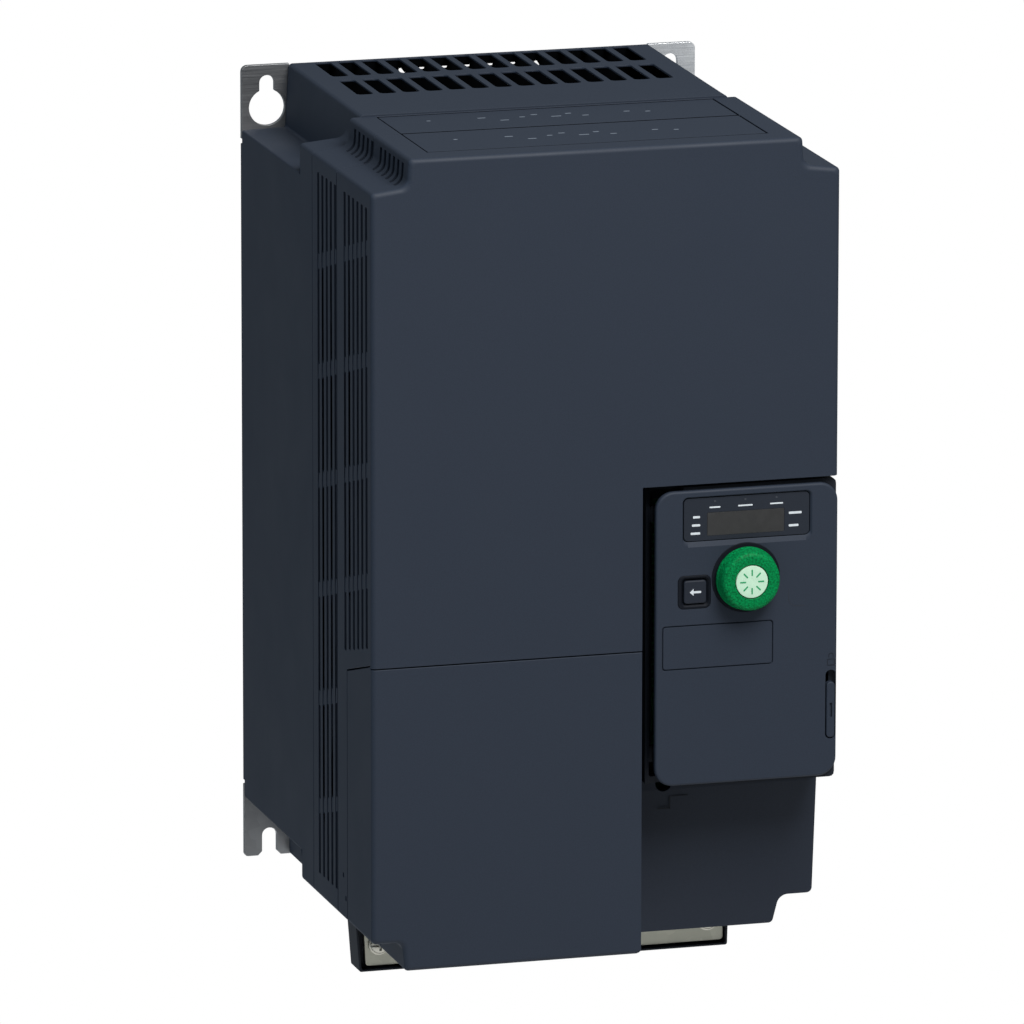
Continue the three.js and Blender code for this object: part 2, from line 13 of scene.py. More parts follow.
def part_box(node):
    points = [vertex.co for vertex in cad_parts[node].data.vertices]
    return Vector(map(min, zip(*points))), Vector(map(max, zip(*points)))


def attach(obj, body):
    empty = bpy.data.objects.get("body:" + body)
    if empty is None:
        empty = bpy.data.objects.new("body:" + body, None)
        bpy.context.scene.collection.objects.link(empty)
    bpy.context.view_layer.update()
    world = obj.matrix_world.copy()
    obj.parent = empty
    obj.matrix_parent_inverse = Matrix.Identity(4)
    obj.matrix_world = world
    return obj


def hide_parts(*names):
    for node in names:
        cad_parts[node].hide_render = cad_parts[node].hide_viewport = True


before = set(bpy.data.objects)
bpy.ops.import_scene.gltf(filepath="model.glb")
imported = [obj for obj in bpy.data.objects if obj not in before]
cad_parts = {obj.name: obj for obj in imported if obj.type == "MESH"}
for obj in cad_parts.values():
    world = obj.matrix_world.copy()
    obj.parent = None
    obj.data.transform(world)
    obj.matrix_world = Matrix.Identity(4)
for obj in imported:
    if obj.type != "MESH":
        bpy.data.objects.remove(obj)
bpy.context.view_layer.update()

MM = 0.001

# ---- sizes read from the frame ----
PLATE_LOW, PLATE_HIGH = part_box("mounting_plate")
REAR_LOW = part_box("rear_housing")[0]
MID_LOW, MID_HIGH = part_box("mid_frame")
VENT_LOW, VENT_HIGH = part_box("vent_shell")
COVER_LOW, COVER_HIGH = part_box("front_cover")
TERMINAL_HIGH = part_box("terminal_cover")[1]
BAY_LOW, BAY_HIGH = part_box("control_bay")
DOOR_LOW, DOOR_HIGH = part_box("hmi_door")
FRONT = COVER_LOW.y
HALF = COVER_HIGH.x
TOWER_TOP = COVER_HIGH.z
FOOT_BOTTOM = VENT_LOW.z

# ---- sizes of details ----
# Generic dashes on the strips of the top: share of the strip's length, shift and length in mm.
DASHES = (
    (0.12, 3, 1.6), (0.27, 3, 3.2), (0.325, -3, 3.4), (0.39, 1, 2.2), (0.43, 4, 2.6),
    (0.48, -1, 4.0), (0.53, 3, 2.4), (0.57, -2, 2.6), (0.7, 1, 2.4), (0.76, -1, 2.0),
)

WALL = 2.5 * MM
TOWER_HALF = 75.5 * MM
NECK_HALF = 76.2 * MM
SHOULDER_IN = 142.5 * MM
SHOULDER = 140.8 * MM
FOOT_SHELF = -143.3 * MM
FOOT_LEFT = (-78.2 * MM, -77.1 * MM)  # at the shelf and at the bottom
FOOT_RIGHT = (77.2 * MM, 74.8 * MM)
HOOD_HALF = 71.6 * MM
HOOD_SHELF_HALF = 73 * MM
HOOD_END_HALF = 72 * MM
HOOD_TOP = (153.8 * MM, 154.6 * MM)  # at the front and at the rear
HOOD_BOTTOM = (-155.9 * MM, -155.6 * MM)
SHELF_TOP = (129.7 * MM, 130.3 * MM)  # at the outer edge and beside the hood
SHELF_BOTTOM = (-131.8 * MM, -132.1 * MM)
HOOD_WALL = 3 * MM
HOOD_CAP = 0.9 * MM

SLOT_X = 80 * MM
SLOT_Z = 147.5 * MM
SLOT_WIDTH = 5.8 * MM
SLOT_CHAMFER = 1.6 * MM
KEYHOLE_WIDTH = 14 * MM
KEYHOLE_DROP = 9.5 * MM
PLATE_WAIST = 3.3 * MM  # how far the plate's edge draws in between its tabs
PLATE_WAIST_Z = (-126.5 * MM, 126.2 * MM)

GRILLE_COUNT = 14
GRILLE_PITCH = 9.05 * MM
GRILLE_WIDTH = 6.3 * MM
GRILLE_ROWS = ((-31.1 * MM, -3.6 * MM), (-66.1 * MM, -38.3 * MM))
WINDOW = (-28.8 * MM, 28.8 * MM, 144.6 * MM, 151 * MM)
RAIL_WIDTH = 3 * MM  # the duct's side rails, which lie beside the plate
RAIL_Z = (-125 * MM, 124.45 * MM)
DUCT_MOUTH = (70 * MM, 121 * MM)  # half width and half height of the way into the duct
SHADE_PANEL = 1.6 * MM
# Small openings in the hood's near-black panel of painted shade, in mm: centres of the oblong ones, corners
# of the others.
GLIMPSES = (-19.4, -10.4, -1.4, 7.7, 16.7)
SLANTED_GLIMPSES = (
    ((-29.3, 150.9, 0.6), (-27.4, 150.7, 0.5), (-25.1, 147.7, 0.5), (-26.8, 147.6, 0.6)),
    ((24.4, 150.9, 0.6), (26.4, 150.8, 0.5), (27.9, 148.5, 0.5), (26.6, 148.3, 0.5)),
)

LOUVRE_WIDTH = 2.8 * MM
LOUVRE_PITCH = 5.88 * MM
LOUVRE_TOP = (134.8 * MM, 134.6 * MM)  # on the vent shell and on the front cover
BRIDGE_PITCH = 41.8 * MM
BRIDGE_HIGHEST = 101 * MM
BRIDGE_SLOPE = 0.277
BRIDGE = 5.6 * MM
BRIDGE_SUNK = 0.3 * MM
SHOULDER_SLOT = ((72.4 * MM, 79 * MM), (137.5 * MM, 150.3 * MM))  # across and up

CABLE_HOLES = ((-52, 11), (-20, 11), (12, 11), (46, 9))  # x and radius in mm
PIN_HOLES = ((-145.1, -126.2), (-148.6, -134.5))  # y and z in mm, on the left side
EARTH_HOLES = ((-63.2, -167, 2.4), (66.7, -167, 2.4), (-31, -166, 2.1), (1.5, -166, 2.1), (34, -166, 2.1))
BAY_TOP = 24.2 * MM  # of the opening in the front cover
BAY_TILT = (-98 * MM, -155 * MM)  # the bay's panel leans back from this height to this depth
BAY_OPENING = ((25 * MM, 84 * MM), (-82 * MM, 14 * MM))
BAY_HOLE = (29.9 * MM, -95.4 * MM)
# A corner mark engraved on the bay: x, z, width and height in mm.
BAY_MARKS = ((27.6, -105.4, 5, 0.5), (32.1, -105.4, 0.5, 4.8), (33, -100.8, 6.5, 0.3))

SEAM = 0.3 * MM  # gap left between neighbouring mouldings
WIDE_SEAM = 0.2 * MM  # what each side of the seam behind the front cover gives way
STRIP_GROOVE = 1.1 * MM  # width of the groove at the front and rear of the strips on top
STRIP_GAP = 1.5 * MM  # between the two strips
SEAM_MIDDLE = (VENT_LOW.y + COVER_HIGH.y) / 2
EDGE = 0.35 * MM  # rounding of ordinary moulded edges
RIM = 1.9 * MM  # rounding of the front rim
RIM_STEPS = 5
COVER_SEAM = 0.5 * MM  # gap around the terminal cover
FLAT_WIDTH = 1.3 * MM  # faces wider than this are shaded flat
BROAD = 40 * MM * MM  # faces larger than this are kept exactly flat
MARK_SUNK = 0.02 * MM  # how deep a printed mark is sunk into its face
MARK_HEIGHT = 0.06 * MM  # how far it stands out
PAST = 1 * MM  # how far a cutter runs past what it cuts


# ---- outlines ----
def outline(corners, steps=7):
    """Points of a closed outline through corners (u, v, radius), each rounded by a true arc."""
    points = []
    count = len(corners)
    for i, (u, v, radius) in enumerate(corners):
        here = Vector((u, v))
        back = (Vector(corners[i - 1][:2]) - here).normalized()
        ahead = (Vector(corners[(i + 1) % count][:2]) - here).normalized()
        if radius <= 0:
            points.append(here)
            continue
        half_angle = back.angle(ahead) / 2
        centre = here + (back + ahead).normalized() * (radius / math.sin(half_angle))
        start = here + back * (radius / math.tan(half_angle)) - centre
        sweep = start.angle_signed(here + ahead * (radius / math.tan(half_angle)) - centre)
        for k in range(steps + 1):
            points.append(centre + Matrix.Rotation(-sweep * k / steps, 2) @ start)
    return points


def mirrored(half):
    """A whole outline from the corners of its +X half, listed from top to bottom."""
    return [(-u, v, r) for u, v, r in reversed(half)] + list(half)


def rectangle(left, right, bottom, top, radius=0.0):
    return [(left, bottom, radius), (right, bottom, radius), (right, top, radius), (left, top, radius)]


def drawn_in(box, by, radius=0.0):
    """A rectangle (left, right, bottom, top) made smaller by the same amount on all four sides."""
    left, right, bottom, top = box
    return rectangle(left + by, right - by, bottom + by, top - by, radius)


def square(centre, half, radius):
    x, z = centre
    return rectangle(x - half, x + half, z - half, z + half, radius)


def centre_of(node):
    low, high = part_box(node)
    return (low.x + high.x) / 2, (low.z + high.z) / 2


def scaled(corners):
    """Corners given in mm, in metres."""
    return [tuple(value * MM for value in corner) for corner in corners]


# ---- solids ----
def new_object(bm, name="scratch"):
    bmesh.ops.recalc_face_normals(bm, faces=bm.faces)
    mesh = bpy.data.meshes.new(name)
    bm.to_mesh(mesh)
    bm.free()
    obj = bpy.data.objects.new(name, mesh)
    bpy.context.scene.collection.objects.link(obj)
    return obj


PLACE = {
    "x": lambda u, v, t: (t, u, v),
    "y": lambda u, v, t: (u, t, v),
    "z": lambda u, v, t: (u, v, t),
}


def prism(corners, axis, low, high, steps=7):
    """An outline drawn in the plane across an axis, and drawn out along it from low to high."""
    return loft(corners, corners, axis, low, high, steps)


def loft(low_corners, high_corners, axis, low, high, steps=7):
    """A prism whose outline changes evenly from one end to the other."""
    return stack([(low_corners, low), (high_corners, high)], axis, steps)


def stack(sections, axis, steps=7):
    """A solid through several outlines (corners, position), in order along the axis."""
    bm = bmesh.new()
    at = PLACE[axis]
    rings = [[bm.verts.new(at(p.x, p.y, t)) for p in outline(corners, steps)] for corners, t in sections]
    bm.faces.new(rings[0])
    bm.faces.new(rings[-1])
    for near, far in zip(rings, rings[1:]):
        for i in range(len(near)):
            bm.faces.new((near[i - 1], near[i], far[i], far[i - 1]))
    return new_object(bm)


def block(x, y, z):
    return prism(rectangle(x[0], x[1], z[0], z[1]), "y", y[0], y[1])


def rod(axis, radius, low, high, centre, sides=32):
    corners = [
        (centre[0] + radius * math.cos(a), centre[1] + radius * math.sin(a), 0)
        for a in (2 * math.pi * i / sides for i in range(sides))
    ]
    return prism(corners, axis, low, high)


def turned(profile, centre, sides=64):
    """A solid of revolution about the Y axis line through centre (x, z); profile is (radius, y)."""
    bm = bmesh.new()
    x, z = centre
    rings = []
    for radius, y in profile:
        count = sides if radius > 0 else 1
        turns = [2 * math.pi * i / sides for i in range(count)]
        rings.append([bm.verts.new((x + radius * math.cos(a), y, z + radius * math.sin(a))) for a in turns])
    for a, b in zip(rings, rings[1:]):
        for i in range(sides):
            corners = {a[i % len(a)]: 1, a[(i + 1) % len(a)]: 1, b[(i + 1) % len(b)]: 1, b[i % len(b)]: 1}
            if len(corners) > 2:
                bm.faces.new(list(corners))
    return new_object(bm)


def merged(objects):
    """Several solids that don't overlap, as one object."""
    bm = bmesh.new()
    for obj in objects:
        bm.from_mesh(obj.data)
        bpy.data.objects.remove(obj)
    return new_object(bm)


def apply_modifiers(obj):
    bpy.context.view_layer.update()
    graph = bpy.context.evaluated_depsgraph_get()
    mesh = bpy.data.meshes.new_from_object(obj.evaluated_get(graph))
    obj.modifiers.clear()
    old = obj.data
    obj.data = mesh
    bpy.data.meshes.remove(old)
    return obj


def combine(target, tools, operation="DIFFERENCE"):
    """Cuts, joins or intersects target with one or more solids, which are used up."""
    tool = merged(tools) if isinstance(tools, (list, tuple)) else tools
    modifier = target.modifiers.new("combine", "BOOLEAN")
    modifier.operation = operation
    modifier.solver = "MANIFOLD"
    modifier.object = tool
    apply_modifiers(target)
    bpy.data.objects.remove(tool)
    return target


def cut(target, corners, axis, low, high):
    """Takes a prism away from target."""
    return combine(target, prism(corners, axis, low, high))


def tidy(obj):
    """Dissolves the flat triangles that booleans leave, so that edges can be rounded."""
    bm = bmesh.new()
    bm.from_mesh(obj.data)
    bmesh.ops.remove_doubles(bm, verts=bm.verts, dist=0.03 * MM)
    bmesh.ops.dissolve_degenerate(bm, dist=0.01 * MM, edges=bm.edges)
    bmesh.ops.dissolve_limit(bm, angle_limit=math.radians(0.4), verts=bm.verts, edges=bm.edges)
    bm.to_mesh(obj.data)
    bm.free()
    return obj


def round_rim(obj, axis, value, width, segments=4):
    """Rounds the edges that lie in the plane where the axis has that value."""
    index = "xyz".index(axis)
    bm = bmesh.new()
    bm.from_mesh(obj.data)
    edges = [e for e in bm.edges if all(abs(v.co[index] - value) < 0.01 * MM for v in e.verts)]
    bmesh.ops.bevel(bm, geom=edges, offset=width, segments=segments, profile=0.5, affect="EDGES")
    bm.to_mesh(obj.data)
    bm.free()
    return obj


def soften(obj, width=EDGE, segments=2, angle=38):
    """Rounds every edge sharper than angle."""
    modifier = obj.modifiers.new("soften", "BEVEL")
    modifier.width = width
    modifier.segments = segments
    modifier.limit_method = "ANGLE"
    modifier.angle_limit = math.radians(angle)
    modifier.use_clamp_overlap = False
    return flatten(apply_modifiers(obj))


def flatten(obj):
    """Moves the corners of every broad face exactly onto its plane."""
    bm = bmesh.new()
    bm.from_mesh(obj.data)
    bmesh.ops.dissolve_limit(bm, angle_limit=math.radians(0.3), verts=bm.verts, edges=bm.edges)
    broad = sorted((f for f in bm.faces if f.calc_area() > BROAD), key=lambda f: f.calc_area())
    for face in broad:
        normal = face.normal.copy()
        longest = max(face.edges, key=lambda e: e.calc_length())
        level = sum(v.co.dot(normal) for v in longest.verts) / 2
        for vertex in face.verts:
            vertex.co += normal * (level - vertex.co.dot(normal))
    bm.to_mesh(obj.data)
    bm.free()
    return obj


def shade(obj, angle):
    """Smooth shading with sharp creases kept, and broad faces shaded exactly flat."""
    for face in obj.data.polygons:
        face.use_smooth = True
    obj.data.set_sharp_from_angle(angle=math.radians(angle))
    modifier = obj.modifiers.new("normals", "WEIGHTED_NORMAL")
    modifier.keep_sharp = True
    apply_modifiers(obj)
    mesh = obj.data
    normals = [Vector(corner.vector) for corner in mesh.corner_normals]
    for face in mesh.polygons:
        points = [mesh.vertices[i].co for i in face.vertices]
        around = sum((p - points[i - 1]).length for i, p in enumerate(points))
        if face.area * 2 > FLAT_WIDTH * around:
            for i in face.loop_indices:
                normals[i] = face.normal.copy()
    mesh.normals_split_custom_set(normals)
    return obj


def place(obj, name, body, material, slot, *nodes, crease=40):
    """Shades and names a finished piece, gives it its material, and hangs it on its body."""
    shade(obj, crease)
    obj.name = name
    obj.data.name = name
    obj.data.materials.clear()
    obj.data.materials.append(material)
    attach(obj, body)
    if nodes:
        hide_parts(*nodes)
    return obj


# ---- materials ----
def node_material(name):
    """A new material, its node tree, its shader and the surface's own coordinates."""
    material = bpy.data.materials.new(name)
    material.use_nodes = True
    tree = material.node_tree
    where = tree.nodes.new("ShaderNodeTexCoord").outputs["Object"]
    return material, tree, tree.nodes["Principled BSDF"], where


def feed(tree, node, inputs):
    """Sets a node's inputs to values, or links them to other nodes' outputs."""
    for key, value in inputs.items():
        if isinstance(value, bpy.types.NodeSocket):
            tree.links.new(value, node.inputs[key])
        else:
            node.inputs[key].default_value = value


def added(tree, kind, inputs, output):
    """One output of a new node."""
    node = tree.nodes.new("ShaderNode" + kind)
    feed(tree, node, inputs)
    return node.outputs[output]


def noise(tree, vector, scale, detail=2.0):
    return added(tree, "TexNoise", {"Vector": vector, "Scale": scale, "Detail": detail}, "Fac")


def ranged(tree, value, low, high, from_low=0.3, from_high=0.7):
    inputs = {"Value": value, "From Min": from_low, "From Max": from_high, "To Min": low, "To Max": high}
    return added(tree, "MapRange", inputs, "Result")


def mixed(tree, factor, first, second, blend="MIX"):
    node = tree.nodes.new("ShaderNodeMix")
    node.data_type = "RGBA"
    node.blend_type = blend
    feed(tree, node, {0: factor, 6: first, 7: second})
    return node.outputs[2]


def bump(tree, height, strength, distance):
    return added(tree, "Bump", {"Height": height, "Strength": strength, "Distance": distance}, "Normal")


def varied(colour, amount):
    return (*(channel * amount for channel in colour), 1)


def moulded(name, colour, roughness=0.5, grain=0.45 * MM, depth=0.03 * MM, speckle=0.12, specular=0.25):
    """Moulded plastic: a fine spark-eroded grain, a faint speckle and slow changes of gloss."""
    material, tree, shader, where = node_material(name)
    fine, slow = noise(tree, where, 1 / grain, 3.0), noise(tree, where, 28.0)
    tint = mixed(tree, ranged(tree, fine, 0, 1), varied(colour, 1 - speckle), varied(colour, 1 + speckle))
    gloss = ranged(tree, slow, roughness - 0.03, roughness + 0.04)
    surface = {"Base Color": tint, "Roughness": gloss, "Specular IOR Level": specular}
    feed(tree, shader, {**surface, "Normal": bump(tree, fine, 0.35, depth)})
    return material


def zinc_sheet(name, colour, roughness=0.38, left_shade=0.0):
    """Galvanised sheet: soft spangles and fine rolling lines; where an amount of painted shade is given, its
    colour darkens towards -X by that amount.
    """
    material, tree, shader, where = node_material(name)
    spangle = added(tree, "TexVoronoi", {"Vector": where, "Scale": 260.0}, "Color")
    flake = added(tree, "RGBToBW", {"Color": spangle}, "Val")
    stretched = added(tree, "Mapping", {"Vector": where, "Scale": (40, 400, 4000)}, "Vector")
    lines = noise(tree, stretched, 1.0, 3.0)
    tint = mixed(tree, ranged(tree, flake, 0, 1, 0, 1), varied(colour, 0.9), varied(colour, 1.08))
    # Painted shade: the sheet's colour darkens towards -X.
    if left_shade:
        x = added(tree, "SeparateXYZ", {"Vector": where}, "X")
        across = ranged(tree, x, 0, 1, -90 * MM, 60 * MM)
        left_shade_ramp = mixed(tree, across, varied((1, 1, 1), 1 - left_shade), (1, 1, 1, 1))
        tint = mixed(tree, 1.0, tint, left_shade_ramp, "MULTIPLY")
    gloss = ranged(tree, lines, roughness - 0.06, roughness + 0.1)
    surface = {"Base Color": tint, "Roughness": gloss, "Metallic": 1.0}
    feed(tree, shader, {**surface, "Normal": bump(tree, lines, 0.08, 0.02 * MM)})
    return material


def smooth(name, colour, roughness=0.2, metallic=0.0, wear=0.06):
    """A smooth surface with faint handling marks in its gloss."""
    material, tree, shader, where = node_material(name)
    marks = noise(tree, where, 420.0, 4.0)
    tint = mixed(tree, ranged(tree, marks, 0, 1), varied(colour, 0.94), varied(colour, 1.05))
    gloss = ranged(tree, marks, roughness - wear / 2, roughness + wear)
    surface = {"Base Color": tint, "Roughness": gloss, "Metallic": metallic}
    feed(tree, shader, {**surface, "Normal": bump(tree, marks, 0.03, 0.01 * MM)})
    return material


def circuit_mask(name, colour):
    """Solder mask over copper: lighter tracks on a darker ground."""
    material, tree, shader, where = node_material(name)
    turn = added(tree, "Mapping", {"Vector": where, "Rotation": (math.pi / 2, 0, 0)}, "Vector")
    tracks = tree.nodes.new("ShaderNodeTexBrick")
    feed(tree, tracks, {"Vector": turn, "Scale": 90.0, "Mortar Size": 0.03, "Color1": varied(colour, 0.8)})
    feed(tree, tracks, {"Color2": varied(colour, 1), "Mortar": varied(colour, 1.8)})
    gloss = ranged(tree, noise(tree, where, 900.0), 0.3, 0.42)
    normal = bump(tree, tracks.outputs["Fac"], 0.2, 0.03 * MM)
    feed(tree, shader, {"Base Color": tracks.outputs["Color"], "Roughness": gloss, "Normal": normal})
    return material


BODY = moulded("body_plastic", (0.0155, 0.0215, 0.034), 0.62)
# The body plastic darkened for the control bay: painted shade under the door.
SHADED_BAY = moulded("bay_plastic_painted_shade", (0.0118, 0.0160, 0.0258), 0.62)
# Near-black: painted shade in the key's pocket and a painted shadow ring around the dial.
POCKET_SHADE = moulded("pocket_shade_plastic", (0.0035, 0.0048, 0.008), 0.6, specular=0.12)
KEY = moulded("key_plastic", (0.0085, 0.0115, 0.019), 0.6)
# Dark navy plastic; on the door base it also paints the shade under the door.
DARK_AND_SHADE = moulded("dark_plastic", (0.0075, 0.0098, 0.0155), 0.55)
# The mounting plate's colour darkens towards its left side: painted shade.
ZINC = zinc_sheet("galvanised_steel", (0.98, 0.98, 0.99), 0.38, left_shade=0.69)
EARTH = zinc_sheet("passivated_steel", (0.5, 0.485, 0.4), 0.42)
STEEL = smooth("bright_steel", (0.46, 0.44, 0.38), 0.3, 1.0)
ALUMINIUM = zinc_sheet("heatsink_aluminium", (0.55, 0.56, 0.57), 0.45)
BLACK = moulded("black_plastic", (0.011, 0.011, 0.013), 0.5)
# Near-black and unreflective: painted shade inside the hood and in the grooves around the top strips.
SHADE_BLACK = moulded("painted_shade_black", (0.0012, 0.0014, 0.0018), 0.8, specular=0.0)
PANE = smooth("display_pane", (0.0245, 0.0238, 0.0232), 0.35)
BEZEL = moulded("bezel_foil", (0.012, 0.0155, 0.023), grain=0.5 * MM, depth=0.01 * MM, speckle=0.08)
STIPPLE = {"grain": 0.7 * MM, "depth": 0.32 * MM, "speckle": 0.6, "specular": 0.07}
GREEN = moulded("dial_green", (0.0, 0.142, 0.038), **STIPPLE)
CAP = smooth("cap_pale", (0.44, 0.63, 0.465), 0.4)
MARK = smooth("cap_mark", (0.02, 0.26, 0.1), 0.4)
ENGRAVED = moulded("engraved_mark", (0.006, 0.008, 0.012), 0.6)
PRINT = smooth("legend_print", (0.55, 0.58, 0.6), 0.5)
FAINT_PRINT = smooth("faint_print", (0.12, 0.14, 0.17), 0.5)
DOT_PRINT = smooth("dot_print", (0.03, 0.034, 0.042), 0.5)
FAINT_MARK = smooth("faint_mark", (0.0085, 0.012, 0.02), 0.6)
BOARD = circuit_mask("circuit_board", (0.01, 0.085, 0.03))
MODULE = moulded("module_plastic", (0.5, 0.48, 0.43), 0.55)
SLEEVE = smooth("capacitor_sleeve", (0.012, 0.02, 0.05), 0.3)
TERMINAL_GREEN = moulded("terminal_green", (0.02, 0.17, 0.05), 0.45)


# ---- housing ----
def moulding(obj, node, body="housing", material=BODY):
    """Finishes a piece of the case, which stands in for one CAD node."""
    return place(obj, node + "_moulding", body, material, "body_plastic", node)


def mounting_plate():
    rear, front = PLATE_HIGH.y, PLATE_LOW.y
    half, top, bottom = PLATE_HIGH.x, PLATE_HIGH.z, PLATE_LOW.z
    inner = HOOD_HALF - 0.5 * MM
    waist = half - PLATE_WAIST
    waist_bottom, waist_top = PLATE_WAIST_Z
    mouth = SLOT_WIDTH / 2
    tabs = [(inner, 152 * MM, 0), (inner, top, 0), (half, top, 2.5 * MM), (half, waist_top, 0.4 * MM)]
    sides = [(waist, waist_top, 0), (waist, waist_bottom, 0), (half, waist_bottom, 0.4 * MM)]
    slot = [
        (half, bottom, 1.6 * MM),
        (SLOT_X + mouth + SLOT_CHAMFER, bottom, 0),
        (SLOT_X + mouth, bottom + SLOT_CHAMFER, 0),
        (SLOT_X + mouth, -SLOT_Z, 0),
        (SLOT_X - mouth, -SLOT_Z, 0),
        (SLOT_X - mouth, bottom + SLOT_CHAMFER, 0),
        (SLOT_X - mouth - SLOT_CHAMFER, bottom, 0),
    ]
    half_outline = tabs + sides + slot + [(inner, bottom, 0), (inner, -153 * MM, 0)]
    plate = prism(mirrored(half_outline), "y", front, rear)
    through = (front - PAST, rear + PAST)
    for side in (-1, 1):
        x = side * SLOT_X
        drop = SLOT_Z - KEYHOLE_DROP
        combine(plate, rod("y", mouth, *through, (x, SLOT_Z), 24))
        combine(plate, block((x - mouth, x + mouth), through, (drop, SLOT_Z)))
        combine(plate, rod("y", KEYHOLE_WIDTH / 2, *through, (x, drop), 40))
        combine(plate, rod("y", mouth, *through, (x, -SLOT_Z), 24))
    cut(plate, rectangle(*WINDOW, 2.5 * MM), "y", *through)
    soften(tidy(plate), 0.25 * MM, 2)
    return place(plate, "mounting_plate_sheet", "housing", ZINC, "galvanised_steel", "mounting_plate")


def rear_outline(inset, cap, end):
    """The duct seen from behind; end is 0 at its front and 1 at its rear."""
    top, bottom = HOOD_TOP[end], HOOD_BOTTOM[end]
    return mirrored(
        [
            (HOOD_HALF - inset, top - cap, 1.6 * MM),
            (HOOD_SHELF_HALF - inset, SHELF_TOP[1] - inset, 1 * MM),
            (HALF - inset, SHELF_TOP[0] - inset, 0.8 * MM),
            (HALF - inset, SHELF_BOTTOM[0] + inset, 1 * MM),
            (HOOD_SHELF_HALF - inset, SHELF_BOTTOM[1] + inset, 1 * MM),
            (HOOD_END_HALF - inset, bottom + cap, 1.2 * MM),
        ]
    )


def grille_cutters():
    first = -(GRILLE_COUNT - 1) * GRILLE_PITCH / 2
    cutters = []
    for i in range(GRILLE_COUNT):
        x = first + i * GRILLE_PITCH
        for front, rear in GRILLE_ROWS:
            corners = rectangle(x - GRILLE_WIDTH / 2, x + GRILLE_WIDTH / 2, front, rear, 1.8 * MM)
            cutters.append(prism(corners, "z", HOOD_TOP[0] - HOOD_CAP - MM, HOOD_TOP[1] + MM, 5))
            cutters.append(prism(corners, "z", HOOD_BOTTOM[0] - MM, HOOD_BOTTOM[1] + HOOD_CAP + MM, 5))
    return cutters


def rear_moulding():
    """The air duct and the frame in front of it, which show no joint between them."""
    rear = PLATE_LOW.y - SEAM
    outer = [rear_outline(0, 0, end) for end in (0, 1)]
    inner = [rear_outline(HOOD_WALL, HOOD_CAP, end) for end in (0, 1)]
    housing = loft(*outer, "y", REAR_LOW.y, rear)
    combine(housing, loft(*inner, "y", REAR_LOW.y - PAST, rear + PAST))
    for side in (-1, 1):
        x = sorted((side * (HALF - RAIL_WIDTH), side * HALF))
        combine(housing, block(x, (rear - MM, -SEAM), RAIL_Z), "UNION")
    combine(housing, grille_cutters())
    wide, high = DUCT_MOUTH
    ring = prism(frame_outline(0), "y", MID_LOW.y, MID_HIGH.y)
    cut(ring, frame_outline(WALL), "y", MID_LOW.y - PAST, MID_HIGH.y - WALL)
    combine(ring, block((-wide, wide), (MID_HIGH.y - 4 * MM, MID_HIGH.y + PAST), (-high, high)))
    bridge = prism(outer[0], "y", MID_HIGH.y - MM, REAR_LOW.y + 0.5 * MM)
    cut(bridge, inner[0], "y", MID_HIGH.y - 2 * MM, REAR_LOW.y + 2 * MM)
    combine(ring, bridge, "UNION")
    # The tower reaches forward to the vent shell, so that only the sides show a seam.
    depth = (MID_LOW.y - 0.45 * MM, MID_LOW.y + MM)
    reach = block((-HALF, HALF), depth, (SHOULDER_IN + MM, HOOD_TOP[1]))
    collar = prism(frame_outline(0), "y", *depth)
    cut(collar, frame_outline(WALL), "y", MID_LOW.y - PAST, MID_LOW.y + 2 * MM)
    combine(ring, combine(collar, reach, "INTERSECT"), "UNION")
    combine(housing, ring, "UNION")
    soften(tidy(housing), 0.3 * MM)
    return place(housing, "rear_moulding", "housing", BODY, "body_plastic", "rear_housing", "mid_frame")


def hood_shade_liner():
    """A near-black panel and walls inside the hood that paint the shade in the duct, with small openings in
    line with the plate's window.
    """
    rear = PLATE_LOW.y - SEAM
    side = HOOD_HALF - HOOD_WALL - 0.2 * MM
    low = SHELF_TOP[1] + 2 * MM
    front = REAR_LOW.y + MM
    panel = block((-side, side), (rear - SHADE_PANEL, rear), (low, HOOD_TOP[1] - HOOD_CAP - 0.2 * MM))
    oblong = [rectangle(x - 1.3, x + 1.3, 149.7, 150.7, 0.45) for x in GLIMPSES]
    for corners in [*oblong, *SLANTED_GLIMPSES]:
        cut(panel, scaled(corners), "y", rear - 3 * MM, rear + PAST)
    heights = (low, HOOD_TOP[0] - HOOD_CAP - 0.3 * MM)
    walls = [block((-side, side), (front, front + MM), heights)]
    for x in ((-side, MM - side), (side - MM, side)):
        walls.append(block(x, (front + MM, rear - SHADE_PANEL - 0.1 * MM), heights))
    return place(merged([panel, *walls]), "hood_shade_liner", "housing", SHADE_BLACK, "black_plastic")


def frame_outline(inset):
    """The frame in front of the duct, which carries the hood's narrower tower on."""
    slope = (HOOD_SHELF_HALF - HOOD_HALF) / (HOOD_TOP[0] - SHELF_TOP[1])
    neck = HOOD_HALF + slope * (HOOD_TOP[0] - SHOULDER_IN)
    return body_outline(inset, (HOOD_HALF, HOOD_TOP[0]), neck)


def body_outline(inset=0.0, tower=(TOWER_HALF, TOWER_TOP), neck=NECK_HALF):
    shoulder = [
        (tower[0] - inset, tower[1] - inset, 1.6 * MM),
        (neck - inset, SHOULDER_IN - inset, 4 * MM),
        (HALF - inset, SHOULDER - inset, 1.6 * MM),
        (HALF - inset, FOOT_SHELF + inset, 2 * MM),
    ]
    left_foot = [
        (FOOT_LEFT[1] + inset, FOOT_BOTTOM + inset, 1.4 * MM),
        (FOOT_LEFT[0] + inset, FOOT_SHELF + inset, 3.2 * MM),
    ]
    right_foot = [
        (FOOT_RIGHT[0] - inset, FOOT_SHELF + inset, 4.2 * MM),
        (FOOT_RIGHT[1] - inset, FOOT_BOTTOM + inset, 1.8 * MM),
    ]
    return left_foot + mirrored(shoulder) + right_foot


